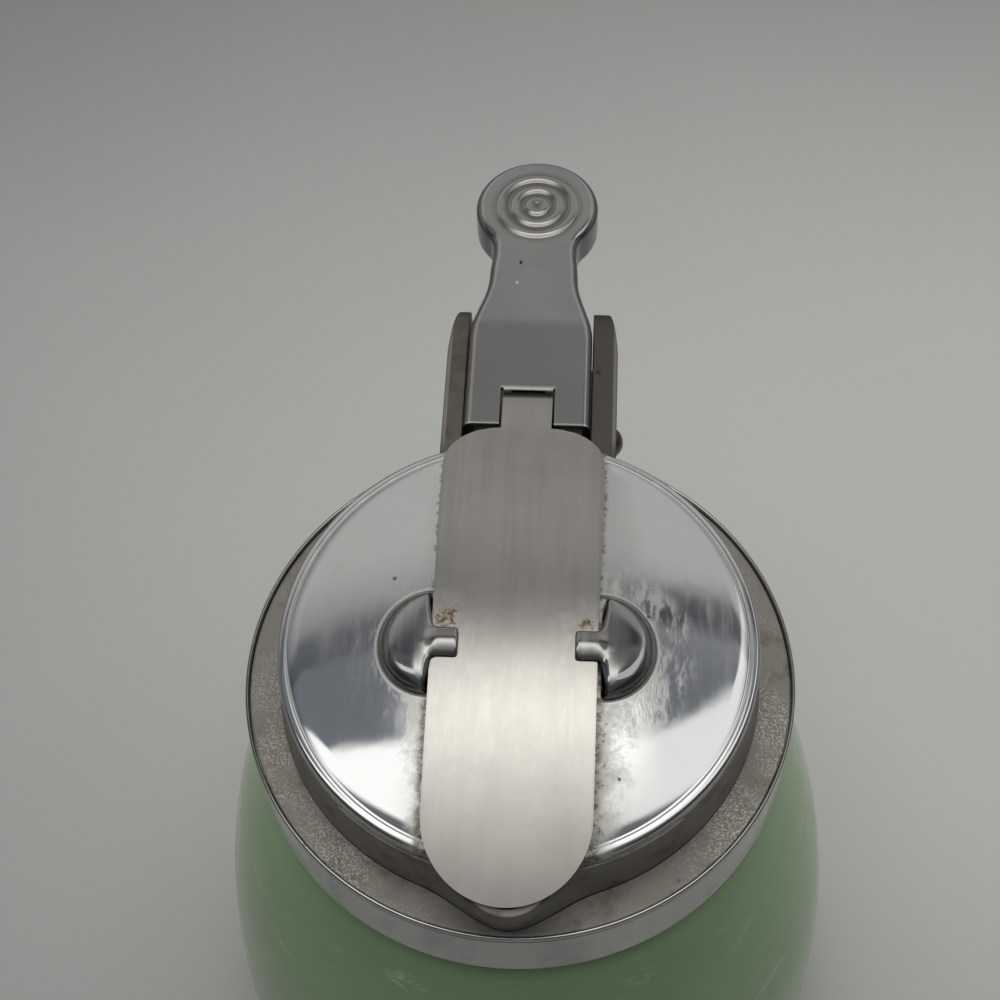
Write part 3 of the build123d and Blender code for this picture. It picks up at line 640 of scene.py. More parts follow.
@dataclass(frozen=True)
class Finish:
    """A metal or other finish; each kind says how it is dressed."""

    name: str
    colour: Colour
    roughness: float
    metallic: float = 1.0

    def material(self) -> bpy.types.Material:
        """Builds the material.

        Returns:
            The material.
        """
        made = bpy.data.materials.new(self.name)
        made.use_nodes = True
        shader = made.node_tree.nodes["Principled BSDF"]
        shader.inputs["Base Color"].default_value = (*self.colour, 1.0)
        shader.inputs["Roughness"].default_value = self.roughness
        shader.inputs["Metallic"].default_value = self.metallic
        self.dress(Graph(made.node_tree), shader)
        return made

    def dress(self, g: Graph, shader: bpy.types.Node) -> None:
        """Adds the finish's detail; the plain finish has none."""

    def bump(self, g: Graph, shader: bpy.types.Node, height: Any, distance: float, strength: float) -> None:
        """Joins a height to the shader's normal.

        Args:
            g: the material's graph.
            shader: its shader.
            height: the height, about 0 to 1.
            distance: depth of a height of 1, in metres.
            strength: how much of it shows.
        """
        inputs = {"Height": height, "Distance": distance, "Strength": strength}
        g.feed(shader.inputs["Normal"], g.node("ShaderNodeBump", inputs).outputs[0])


@dataclass(frozen=True)
class JadeGlass(Finish):
    """Opaque pressed glass with faint swirls and the mould's slow waviness."""

    deep: Colour = (0.17, 0.235, 0.135)
    pale: Colour = (0.5, 0.58, 0.44)
    left_reflection: Point = (0.0140, 0.0360, -0.1418)
    right_reflection: Point = (-0.0172, 0.0344, -0.1420)

    def dress(self, g: Graph, shader: bpy.types.Node) -> None:
        """Adds the swirls, the waviness, the gloss and two painted reflections low on the front."""
        place, _ = object_place(g)
        swirl = g.noise(g.stretched(place, (22, 22, 40)), 1.0, 3.0, 0.5)
        colour = g.mix(g.ramp(swirl, 0.35, 0.7), self.colour, self.deep)
        streak = g.noise(g.stretched(place, (70, 70, 300)), 1.0, 3.0, 0.6)
        colour = g.mix(g.ramp(streak, 0.6, 0.72, 0.0, 0.3), colour, self.pale)
        reflection_pattern = g.ramp(g.noise(g.stretched(place, (330, 330, 900)), 1.0, 4.0, 0.7), 0.5, 0.6)
        # Painted reflections: two pale patches low on the front of the jar, broken up by a noise pattern.
        for spot_centre, share in ((self.left_reflection, 1.0), (self.right_reflection, 0.4)):
            near = g.node("ShaderNodeVectorMath", {0: g.stretched(place, (1, 1, 1.6), spot_centre)}, operation="LENGTH")
            there = g.ramp(near.outputs["Value"], 0.001, 0.0042, share, 0.0)
            colour = g.mix(g.math("MULTIPLY", there, reflection_pattern), colour, self.pale)
        g.feed(shader.inputs["Base Color"], colour)
        shader.inputs["IOR"].default_value = 1.24
        shader.inputs["Subsurface Weight"].default_value = 0.12
        shader.inputs["Subsurface Radius"].default_value = (0.7, 1.0, 0.6)
        shader.inputs["Subsurface Scale"].default_value = 0.003
        rough = g.noise(place, 120, 2.0)
        g.feed(shader.inputs["Roughness"], g.ramp(rough, 0.3, 0.7, self.roughness * 0.8, self.roughness * 1.3))
        self.bump(g, shader, g.noise(place, 45, 2.0), 0.0004, 0.25)


@dataclass(frozen=True)
class SealRubber(Finish):
    """Matt rubber of the gasket, greyed in places by dust."""

    dust: Colour = (0.06, 0.055, 0.05)

    def dress(self, g: Graph, shader: bpy.types.Node) -> None:
        """Adds the dust and a fine grain."""
        place, _ = object_place(g)
        dusty = g.ramp(g.noise(place, 400, 4.0, 0.6), 0.45, 0.7)
        g.feed(shader.inputs["Base Color"], g.mix(g.math("MULTIPLY", dusty, 0.7), self.colour, self.dust))
        g.feed(shader.inputs["Roughness"], g.math("MULTIPLY_ADD", dusty, 0.12, self.roughness))
        self.bump(g, shader, g.noise(place, 2500, 2.0), 0.00005, 0.3)


@dataclass(frozen=True)
class BrightPlate(Finish):
    """Polished plating with a thin film, wipe marks and specks."""

    film: Colour = (0.62, 0.61, 0.58)
    grime_and_shade: Colour = (0.05, 0.045, 0.035)

    def dress(self, g: Graph, shader: bpy.types.Node) -> None:
        """Adds the film and the specks."""
        place, _ = object_place(g)
        haze = g.group(wiped_haze(), {"Vector": place, "Amount": 0.8})
        specks = g.group(scattered_specks(), {"Vector": place, "Scale": 260.0, "Size": 0.1, "Share": 0.1})
        film = g.math("MULTIPLY", haze.outputs["Wipes"], 0.35)
        colour = g.mix(film, self.colour, self.film)
        g.feed(shader.inputs["Base Color"], g.mix(specks.outputs["Spots"], colour, self.grime_and_shade))
        rough = g.math("MULTIPLY_ADD", haze.outputs["Patches"], 0.10, self.roughness)
        g.feed(shader.inputs["Roughness"], g.math("MULTIPLY_ADD", film, 0.5, rough))
        self.bump(g, shader, g.noise(place, 160, 2.0), 0.00012, 0.12)


@dataclass(frozen=True)
class RingPlate(BrightPlate):
    """Plating of the screw ring, with dull smudges, painted shade towards both sides and a painted shadow line at its
    lip.
    """

    dull_and_side_shade: Colour = (0.33, 0.33, 0.32)

    def dress(self, g: Graph, shader: bpy.types.Node) -> None:
        """Adds dull smudges, painted side shade and the painted shadow line at the lip to the film and the specks."""
        super().dress(g, shader)
        place, (x, _, z) = object_place(g)
        colour = shader.inputs["Base Color"].links[0].from_socket
        # Painted shade: the ring darkens towards its left and right sides; the smudges are real dull film.
        side = g.ramp(g.math("ABSOLUTE", x), 0.012, 0.034)
        smudge = g.ramp(g.noise(g.stretched(place, (120, 120, 60)), 1.0, 4.0, 0.65), 0.4, 0.68, 0.0, 0.45)
        colour = g.mix(g.math("MAXIMUM", side, smudge), colour, self.dull_and_side_shade)
        # Painted shadow: a dark line on the lip in the gap at the flange.
        seam = g.window(z, 0.1089, 0.1094, 0.0002)
        g.feed(shader.inputs["Base Color"], g.mix(g.math("MULTIPLY", seam, 0.7), colour, self.grime_and_shade))


@dataclass(frozen=True)
class DomePlate(BrightPlate):
    """Bright plate of the dome, with residue beside the gate and round the ears, painted shade in the creases round
    the ears and a painted light rim outside them.
    """

    crust_and_rim_light: Colour = (0.46, 0.445, 0.4)
    crust_and_rim_light_right: Colour = (0.34, 0.33, 0.3)
    silt: Colour = (0.2, 0.185, 0.15)
    gate_edge: float = 0.0107
    ear_radius: float = 0.00735
    ear_flattening: float = 1.07
    ear_x: float = 0.0109
    ear_y: float = -0.0024

    def dress(self, g: Graph, shader: bpy.types.Node) -> None:
        """Adds film, residue, scuff marks, painted crease shade and a painted light rim round the ears, and specks.
        """
        place, (x, y, _) = object_place(g)
        haze = g.group(wiped_haze(), {"Vector": place, "Amount": 1.0})
        aside = g.math("ABSOLUTE", x)
        right = g.ramp(x, -0.001, 0.001)
        fine = g.math("SUBTRACT", g.noise(place, 1700, 4.0, 0.7), 0.5)
        slow = g.math("SUBTRACT", g.noise(place, 330, 3.0, 0.6), 0.5)
        reach = g.math("MULTIPLY", g.ramp(y, -0.03, -0.012, 0.0024, 0.0042), g.ramp(y, -0.008, 0.002, 1.0, 0.2))
        reach = g.math("MULTIPLY", reach, g.math("MULTIPLY_ADD", right, 0.4, 0.9))
        near = g.math("SUBTRACT", 1.0, g.math("DIVIDE", g.math("SUBTRACT", aside, self.gate_edge), reach))
        near = g.math("MULTIPLY_ADD", slow, 1.6, near)
        residue = g.ramp(g.math("MULTIPLY_ADD", fine, 1.1, near), -0.15, 1.1)
        out = g.math("MULTIPLY", g.math("SUBTRACT", aside, self.ear_x), self.ear_flattening)
        ear = g.node("ShaderNodeCombineXYZ", {0: out, 1: g.math("SUBTRACT", y, self.ear_y)})
        from_ear = g.node("ShaderNodeVectorMath", {0: ear.outputs[0]}, operation="LENGTH").outputs["Value"]
        # Painted shade: a dark line in the crease round each ear's outline.
        crease = g.window(from_ear, self.ear_radius - 0.0003, self.ear_radius + 0.00034, 0.0001)
        strokes = g.ramp(g.noise(g.stretched(place, (1300, 420, 500)), 1.0, 4.0, 0.65), 0.42, 0.62)
        halo = g.window(from_ear, self.ear_radius + 0.0003, self.ear_radius + 0.0016, 0.0012)
        halo = g.math("MULTIPLY", halo, g.math("MULTIPLY_ADD", right, 0.35, 0.35))
        scuffs_and_rim_light = g.math("MULTIPLY", g.math("MULTIPLY", halo, strokes), g.ramp(y, -0.004, 0.004, 1.0, 0.3))
        smear = g.window(from_ear, self.ear_radius + 0.0004, self.ear_radius + 0.0052, 0.0036)
        wiped = g.ramp(g.noise(g.stretched(place, (900, 260, 500), (0.3, 0, 0)), 1.0, 4.0, 0.7), 0.4, 0.66)
        smear = g.math("MULTIPLY", g.math("MULTIPLY", smear, wiped), g.math("MULTIPLY_ADD", right, 0.5, 0.12))
        scuffs_and_rim_light = g.math("MAXIMUM", scuffs_and_rim_light, smear)
        # Painted highlight: a narrow light rim just outside each ear's crease; the halo strokes and smears are real
        # scuff and wipe marks.
        rim = g.window(from_ear, self.ear_radius + 0.0004, self.ear_radius + 0.0008, 0.0003)
        scuffs_and_rim_light = g.math("MAXIMUM", scuffs_and_rim_light, g.math("MULTIPLY", rim, 0.5))
        crust_and_rim_light = g.math("MAXIMUM", g.math("MULTIPLY", residue, 0.75), scuffs_and_rim_light)
        crumbs = g.ramp(g.noise(place, 1500, 3.0, 0.6), 0.57, 0.63)
        close = g.ramp(aside, self.gate_edge + 0.0004, self.gate_edge + 0.0018, 1.0, 0.0)
        close = g.math("MULTIPLY", close, g.ramp(y, -0.012, -0.004, 1.0, 0.35))
        # dark holds the painted crease shade as well as real crumbs, grit and specks.
        dark = g.math("MAXIMUM", crease, g.math("MULTIPLY", g.math("MULTIPLY", residue, crumbs), close))
        edge = g.ramp(y, 0.0, 0.02, self.gate_edge, self.gate_edge + 0.00037)
        past = g.math("SUBTRACT", g.math("ABSOLUTE", g.math("ADD", x, 0.0003)), edge)
        width = g.ramp(y, -0.006, 0.004, 0.0013, 0.0007)
        seam = g.ramp(g.math("DIVIDE", past, width), 0.1, 1.0, 1.0, 0.0)
        grit = g.ramp(g.noise(place, 1100, 3.0, 0.65), 0.5, 0.58)
        dark = g.math("MAXIMUM", dark, g.math("MULTIPLY", g.math("MULTIPLY", seam, grit), 0.85))
        specks = g.group(scattered_specks(), {"Vector": place, "Scale": 300.0, "Size": 0.1, "Share": 0.16})
        dark = g.math("MAXIMUM", dark, specks.outputs["Spots"])
        film = g.math("MULTIPLY", haze.outputs["Wipes"], g.ramp(y, -0.01, 0.006, 0.1, 0.45))
        colour = g.mix(film, self.colour, self.film)
        # The crust colours give both the residue and the painted light rim.
        colour = g.mix(crust_and_rim_light, colour, g.mix(right, self.crust_and_rim_light, self.crust_and_rim_light_right))
        settled = g.math("MULTIPLY", seam, g.ramp(g.noise(place, 900, 4.0, 0.7), 0.36, 0.56, 0.25, 0.8))
        settled = g.math("MULTIPLY", settled, g.ramp(y, -0.008, 0.0, 1.0, 0.0))
        colour = g.mix(settled, colour, self.silt)
        g.feed(shader.inputs["Base Color"], g.mix(g.math("MULTIPLY", dark, 0.85), colour, self.grime_and_shade))
        rough = g.math("MULTIPLY_ADD", haze.outputs["Patches"], 0.07, self.roughness)
        rough = g.math("MULTIPLY_ADD", film, 0.35, rough)
        g.feed(shader.inputs["Roughness"], g.math("MULTIPLY_ADD", crust_and_rim_light, 0.4, rough))
        cover = g.math("MAXIMUM", crust_and_rim_light, g.math("MAXIMUM", dark, settled))
        g.feed(shader.inputs["Metallic"], g.math("MULTIPLY_ADD", cover, -0.6, 1.0))
        height = g.math("MULTIPLY", g.math("MULTIPLY", crust_and_rim_light, 0.3), g.noise(place, 1800, 3.0, 0.7))
        wave = g.math("MULTIPLY", g.noise(place, 130, 2.0), 0.5)
        self.bump(g, shader, g.math("ADD", height, wave), 0.00018, 0.3)


@dataclass(frozen=True)
class DullCasting(Finish):
    """Cast metal whose plating is worn and pitted on the flange and smoother on the wall."""

    grain: Colour = (0.6, 0.58, 0.52)
    stain: Colour = (0.10, 0.075, 0.055)
    specks_and_shade: Colour = (0.02, 0.018, 0.015)
    flange_top: float = 0.10955

    def dress(self, g: Graph, shader: bpy.types.Node) -> None:
        """Adds pits, bright grains, brown stains, dark specks, painted shadow lines at the foot of the wall and under
        the nose's lip, and a painted highlight on the cheeks' front top edge.
        """
        place, (x, y, z) = object_place(g)
        flange = g.ramp(z, self.flange_top, self.flange_top + 0.0006, 1.0, 0.12)
        patchy = g.ramp(g.noise(place, 90, 3.0, 0.6), 0.36, 0.62, 0.1, 1.0)
        worn = g.math("MAXIMUM", g.ramp(x, -0.026, -0.006, 1.0, 0.1), g.ramp(x, 0.017, 0.026, 0.1, 1.3))
        worn = g.math("MULTIPLY", worn, g.ramp(y, -0.012, 0.012, 1.0, 0.2))
        amount = g.math("MULTIPLY", flange, g.math("MULTIPLY", patchy, worn))
        pits = g.group(cast_pits(), {"Vector": place, "Amount": amount})
        colour = g.mix(g.math("MULTIPLY", pits.outputs["Stain"], 0.55), self.colour, self.stain)
        colour = g.mix(pits.outputs["Grains"], colour, self.grain)
        # Painted highlight: a lighter line on the cheeks' outer top edge near their front, held in rubbed.
        rubbed = g.window(g.math("ABSOLUTE", x), 0.0117, 0.0124, 0.0003)
        rubbed = g.math("MULTIPLY", rubbed, g.math("MULTIPLY", g.ramp(y, 0.03, 0.034), g.ramp(z, 0.1168, 0.1174)))
        colour = g.mix(g.math("MULTIPLY", rubbed, 0.25), colour, self.grain)
        specks = g.group(scattered_specks(), {"Vector": place, "Scale": 420.0, "Size": 0.16, "Share": 0.08})
        # Painted shadow: a dark line where the wall meets the flange.
        foot = g.window(z, self.flange_top, self.flange_top + 0.0004, 0.0002)
        marks = g.math("MAXIMUM", foot, g.math("MULTIPLY", specks.outputs["Spots"], 0.6))
        # Painted shadow: a dark line round the nose just under its lip.
        lip = g.node("ShaderNodeVectorMath", {0: g.stretched(place, (1, 1, 0), (0, 0.0311, 0))}, operation="LENGTH")
        mouth = g.window(lip.outputs["Value"], 0.0058, 0.0068, 0.0003)
        front = g.math("MULTIPLY", g.ramp(y, -0.0335, -0.0315, 1.0, 0.0), g.ramp(z, 0.1156, 0.1166))
        mouth = g.math("MULTIPLY", mouth, front)
        marks = g.math("MAXIMUM", marks, g.math("MULTIPLY", mouth, 0.85))
        # The dark colour gives the real specks and the painted shadow lines.
        g.feed(shader.inputs["Base Color"], g.mix(marks, colour, self.specks_and_shade))
        rough = g.math("MULTIPLY_ADD", g.noise(place, 500, 3.0), 0.2, self.roughness - 0.1)
        g.feed(shader.inputs["Roughness"], rough)
        shader.inputs["Specular IOR Level"].default_value = 0.3
        wavy = g.math("MULTIPLY", g.noise(place, 350, 3.0, 0.6), 0.25)
        self.bump(g, shader, g.math("ADD", pits.outputs["Height"], wavy), 0.00022, 0.7)


@dataclass(frozen=True)
class BrushedSteel(Finish):
    """Sheet steel brushed lengthwise, with slow changes of tone."""

    shade: Colour = (0.3, 0.29, 0.28)
    lines: float = 0.1
    streaks: float = 0.06

    def dress(self, g: Graph, shader: bpy.types.Node) -> None:
        """Adds the brushing and the tone."""
        place, _ = object_place(g)
        grain = g.group(brushed_grain(), {"Vector": place, "Strength": 1.0})
        tone = g.ramp(grain.outputs["Tone"], 0.35, 0.7)
        cloud = g.ramp(g.noise(place, 190, 4.0, 0.6), 0.38, 0.66)
        tone = g.math("MULTIPLY_ADD", cloud, 0.35, g.math("MULTIPLY", tone, 0.4))
        g.feed(shader.inputs["Base Color"], g.mix(tone, self.colour, self.shade))
        streak = g.math("SUBTRACT", grain.outputs["Lines"], 0.5)
        g.feed(shader.inputs["Roughness"], g.math("MULTIPLY_ADD", streak, self.streaks, self.roughness))
        self.bump(g, shader, grain.outputs["Lines"], 0.00004, self.lines)


@dataclass(frozen=True)
class GateSteel(BrushedSteel):
    """Steel of the gate, with brown crumbs behind the guide tabs and rubbed patches round them."""

    crumb: Colour = (0.17, 0.125, 0.075)
    rubbed: Colour = (0.56, 0.55, 0.53)
    dark: Colour = (0.33, 0.32, 0.305)
    left_tab: Point = (0.0092, -0.0006, 0.0)
    right_tab: Point = (-0.0088, -0.0002, 0.0)

    def dress(self, g: Graph, shader: bpy.types.Node) -> None:
        """Adds streaks, darker side edges and the crumbs to the brushing."""
        super().dress(g, shader)
        place, (x, y, _) = object_place(g)
        colour = shader.inputs["Base Color"].links[0].from_socket
        ragged = g.math("MULTIPLY", g.math("SUBTRACT", g.noise(place, 700, 4.0, 0.7), 0.5), 0.0035)
        spots: Any = 0.0
        patches: Any = 0.0
        for tab, size in ((self.left_tab, 0.0011), (self.right_tab, 0.0005)):
            level = g.stretched(place, (1, 1, 0), tab)
            away = g.node("ShaderNodeVectorMath", {0: level}, operation="LENGTH").outputs["Value"]
            away = g.math("ADD", away, ragged)
            spots = g.math("MAXIMUM", spots, g.ramp(away, size, size + 0.0008, 1.0, 0.0))
            patches = g.math("MAXIMUM", patches, g.ramp(away, 0.0015, 0.0065, 0.5, 0.0))
        streak = g.noise(g.stretched(place, (520, 24, 60)), 1.0, 3.0, 0.6)
        strength = g.ramp(y, -0.004, 0.006, 0.16, 0.38)
        colour = g.mix(g.math("MULTIPLY", g.ramp(streak, 0.42, 0.68), strength), colour, self.dark)
        smear = g.noise(g.stretched(place, (900, 260, 60), (0.2, 0.5, 0)), 1.0, 4.0, 0.65)
        flecks = g.math("MULTIPLY", g.ramp(smear, 0.48, 0.68), g.window(y, -0.019, -0.001, 0.01))
        colour = g.mix(g.math("MULTIPLY", flecks, 0.22), colour, self.rubbed)
        # Darker along the side edges.
        beside = g.math("ABSOLUTE", g.math("ADD", x, 0.0003))
        colour = g.mix(g.math("MULTIPLY", g.ramp(beside, 0.0103, 0.0107), 0.5), colour, self.dark)
        streaked = g.math("MULTIPLY", patches, g.ramp(g.noise(place, 650, 4.0, 0.65), 0.4, 0.65))
        colour = g.mix(streaked, colour, self.rubbed)
        grit = g.math("MULTIPLY", spots, g.ramp(g.noise(place, 1600, 3.0, 0.6), 0.35, 0.6))
        g.feed(shader.inputs["Base Color"], g.mix(grit, colour, self.crumb))
        rough = shader.inputs["Roughness"].links[0].from_socket
        g.feed(shader.inputs["Roughness"], g.math("MULTIPLY_ADD", grit, 0.35, rough))


@dataclass(frozen=True)
class LeverSteel(BrushedSteel):
    """Steel of the lever, with painted shade on its turned-down edges and a painted highlight along its front edges.
    """

    rolled_edge_shade: Colour = (0.13, 0.13, 0.125)
    # worn also serves as the painted highlight colour for the front and notch edges.
    worn: Colour = (0.75, 0.74, 0.71)
    pit: Colour = (0.06, 0.06, 0.055)
    top: float = 0.1199
    fall: float = 0.0454
    bend: float = 0.0521
    front: float = 0.0341
    notch: float = 0.0403
    dark_mark: Point = (0.0023, -0.0442, 0.0)
    light_mark: Point = (0.0027, -0.0415, 0.0)

    def dress(self, g: Graph, shader: bpy.types.Node) -> None:
        """Adds painted shade on the turned-down edges, a painted highlight along the front and the notch's far edge,
        and two marks on the neck.
        """
        super().dress(g, shader)
        place, (x, y, z) = object_place(g)
        colour = shader.inputs["Base Color"].links[0].from_socket
        drop = g.math("MULTIPLY", g.math("MAXIMUM", g.math("SUBTRACT", y, self.bend), 0.0), self.fall)
        level = g.math("ADD", z, drop)
        # Painted shade: the turned-down edges are darkened below the top face.
        colour = g.mix(g.ramp(level, self.top - 0.0009, self.top - 0.00012, 0.85, 0.0), colour, self.rolled_edge_shade)
        # Painted highlight: a light line on the top face along the front edge and the notch's far edge.
        high = g.ramp(level, self.top - 0.0005, self.top - 0.0003)
        edge = g.ramp(y, self.front + 0.00022, self.front + 0.00036, 1.0, 0.0)
        inside = g.ramp(g.math("ABSOLUTE", g.math("ADD", x, 0.00034)), 0.0038, 0.0039, 1.0, 0.0)
        far = g.math("MULTIPLY", g.window(y, self.notch - 0.0001, self.notch + 0.00032, 0.00008), inside)
        bright = g.math("MULTIPLY", g.math("MAXIMUM", edge, far), high)
        colour = g.mix(bright, colour, self.worn)
        for spot_centre, size, tint in ((self.dark_mark, 0.0002, self.pit), (self.light_mark, 0.00016, self.worn)):
            near = g.node("ShaderNodeVectorMath", {0: g.stretched(place, (1, 0.7, 0), spot_centre)}, operation="LENGTH")
            colour = g.mix(g.ramp(near.outputs["Value"], size, size + 0.0001, 1.0, 0.0), colour, tint)
        g.feed(shader.inputs["Base Color"], colour)


@dataclass(frozen=True)
class PadSteel(BrushedSteel):
    """Steel of the thumb pad, with painted shade in the valleys between its rings."""

    valley_shade: Colour = (0.12, 0.115, 0.105)
    middle: Point = (0.00034, -0.0744, 0.0)
    crest: float = 0.00125
    pitch: float = 0.0022
    reach: float = 0.0072

    def dress(self, g: Graph, shader: bpy.types.Node) -> None:
        """Adds painted shade in the valleys between the rings."""
        super().dress(g, shader)
        place, _ = object_place(g)
        away = g.node("ShaderNodeVectorMath", {0: g.stretched(place, (1, 1, 0), self.middle)}, operation="LENGTH")
        turns = g.math("DIVIDE", g.math("SUBTRACT", away.outputs["Value"], self.crest), self.pitch)
        # Painted shade: darker in each valley between the rings.
        valley = g.math("MULTIPLY_ADD", g.math("COSINE", g.math("MULTIPLY", turns, math.tau)), -0.5, 0.5)
        valley = g.math("MULTIPLY", valley, g.ramp(away.outputs["Value"], self.reach - 0.0012, self.reach, 0.7, 0.0))
        colour = shader.inputs["Base Color"].links[0].from_socket
        g.feed(shader.inputs["Base Color"], g.mix(valley, colour, self.valley_shade))


# ---------------------------------------------------------------- the object's own shapes


@dataclass
class Bow:
    """The arc that dome and gate share, about a line far below the lid."""

    centre_z: float = 7.0
    dome: float = 117.0
    gate_outer: float = 117.95

    def height(self, distance: float, arc: float) -> float:
        """Height of an arc at a distance from the middle.

        Args:
            distance: distance from the arc's highest line.
            arc: radius of the arc.

        Returns:
            The height above the foot.
        """
        return self.centre_z + math.sqrt(arc**2 - distance**2)


@dataclass
class DomedLid:
    """Bright dome plate with its rolled bead and the two guide ears."""

    bow: Bow
    finish: bpy.types.Material
    ear_finish: bpy.types.Material
    flat_radius: float = 30.9
    bead_radius: float = 31.6
    bead_foot: float = 118.05
    sheet: float = 0.8
    notch_half: float = 6.55
    notch_y: float = -27.55
    ear_radius: float = 7.35
    ear_flattening: float = 1.07
    ear_rise: float = 2.3
    ear_x: float = 10.9
    ear_y: float = -2.4
    ear_cell: float = 0.17
    tab_reach: float = 3.4
    tab_half: float = 2.05
    tab_shift: float = -0.7
    tab_corner: float = 0.55
    tab_top: float = 2.03
    tab_arch: float = 3.6
    ear_sheet: float = 0.36
    tab_crest: float = -0.7
    root_fillet: float = 0.9
    edge_roll: float = 2.2
    edge_drop: float = 0.4
    front_drop: float = 0.2

    def plate(self) -> bpy.types.Object:
        """Spins the dome and cuts the notch for the nose.

        Returns:
            The dome plate.
        """
        top = self.bow.centre_z + self.bow.dome
        turn = math.degrees(math.asin((self.flat_radius - 1.1) / self.bow.dome))
        rim = self.bow.height(self.flat_radius, self.bow.dome)
        wire = Wire((0, 0, top))
        wire.arc((0, 0, self.bow.centre_z), (0, 1, 0), turn, 22)
        wire.to((self.flat_radius - 0.75, 0, rim + 0.1), 0.2, 3)
        wire.to((self.flat_radius - 0.35, 0, rim + 0.16), 0.2, 3)
        wire.to((self.bead_radius, 0, rim), 0.55, 5)
        wire.to((self.bead_radius, 0, self.bead_foot))
        wire.to((self.bead_radius - self.sheet, 0, self.bead_foot))
        wire.to((self.bead_radius - self.sheet, 0, rim - self.sheet), 0.3, 3)
        inner = self.bow.dome - self.sheet
        wire.to((self.bead_radius - 2.2, 0, self.bow.height(self.bead_radius - 2.2, inner)))
        back = math.degrees(math.asin((self.bead_radius - 2.2) / inner))
        wire.arc((0, 0, self.bow.centre_z), (0, -1, 0), back, 12)
        bm = spun(wire, 144)
        self.cut_notch(bm)
        lid = finished_piece(bm, "dome_shell", self.finish, Body.TOP, 50)
        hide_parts("dome_plate")
        return lid

    def cut_notch(self, bm: bmesh.types.BMesh) -> None:
        """Removes the part of the rim that the nose stands in.

        Args:
            bm: the dome's mesh.
        """
        for normal, place in (((1, 0, 0), self.notch_half), ((-1, 0, 0), self.notch_half), ((0, 1, 0), self.notch_y)):
            near = [
                f
                for f in bm.faces
                if abs(f.calc_center_median().x) < self.notch_half + 2 and f.calc_center_median().y < self.notch_y + 2
            ]
            geom = [*{v for f in near for v in f.verts}, *{e for f in near for e in f.edges}, *near]
            bmesh.ops.bisect_plane(bm, geom=geom, dist=1e-5, plane_co=Vector(normal) * place, plane_no=normal)
        inside = [
            f
            for f in bm.faces
            if abs(f.calc_center_median().x) < self.notch_half and f.calc_center_median().y < self.notch_y
        ]
        bmesh.ops.delete(bm, geom=inside, context="FACES")
        rim = [e for e in bm.edges if e.is_boundary]
        bmesh.ops.holes_fill(bm, edges=rim, sides=0)

    def free_edge(self, u: float, w: float) -> float:
        """Signed distance to the edge beside the gate and round the tab, above 0 on the metal.

        Args:
            u: distance outwards from the gate's side.
            w: distance along the gate from the ear's middle.

        Returns:
            The distance.
        """
        half = (self.tab_reach + 3.0) / 2
        dx = abs(u - 3.0 + half) - half + self.tab_corner
        dy = abs(w - self.tab_shift) - self.tab_half + self.tab_corner
        tab = min(max(dx, dy), 0.0) + math.hypot(max(dx, 0.0), max(dy, 0.0)) - self.tab_corner
        a, b = u, -tab
        blend = max(self.root_fillet - abs(a - b), 0.0) / self.root_fillet
        return max(a, b) + blend * blend * self.root_fillet / 4

    def ear_outline(self, u: float, w: float) -> float:
        """Signed distance to the ear's whole outline, above 0 on the metal.

        Args:
            u: distance outwards from the gate's side.
            w: distance along the gate from the ear's middle.

        Returns:
            The distance.
        """
        return min(self.free_edge(u, w), self.ear_radius - math.hypot(u * self.ear_flattening, w))

    def ear_height(self, u: float, w: float, x: float) -> float:
        """Height of the ear's outer face.

        Args:
            u: distance outwards from the gate's side.
            w: distance along the gate from the ear's middle.
            x: distance from the middle of the lid.

        Returns:
            The height above the foot.
        """
        share = min(math.hypot(max(u, 0.0) * self.ear_flattening, w) / self.ear_radius, 1.0)
        bulge = self.ear_rise * math.sqrt(max(1 - share**8, 0.0)) - 0.05 * w
        base = self.bow.height(math.hypot(x, self.ear_y + w), self.bow.dome)
        flat = self.bow.centre_z + math.sqrt((self.bow.dome + self.tab_top) ** 2 - (self.ear_y + w) ** 2)
        crown = -((w - self.tab_crest) ** 2) / (2 * self.tab_arch)
        onto_tab = min(max((0.9 - u) / 2.2, 0.0), 1.0)
        onto_tab = onto_tab * onto_tab * (3 - 2 * onto_tab)
        height = (base + bulge) * (1 - onto_tab) + (flat + crown) * onto_tab
        near = min(max(self.free_edge(u, w) / (self.edge_roll - 1.6 * onto_tab), 0.0), 1.0)
        roll = 1 - math.sqrt(max(1 - (1 - near) ** 2, 0.0))
        lower = self.edge_drop + self.front_drop * max(-w - 2.2, 0.0) * (1 - onto_tab)
        drop = min(lower - 0.15 * onto_tab, max(height - base - 0.25, 0.1))
        return height - drop * roll

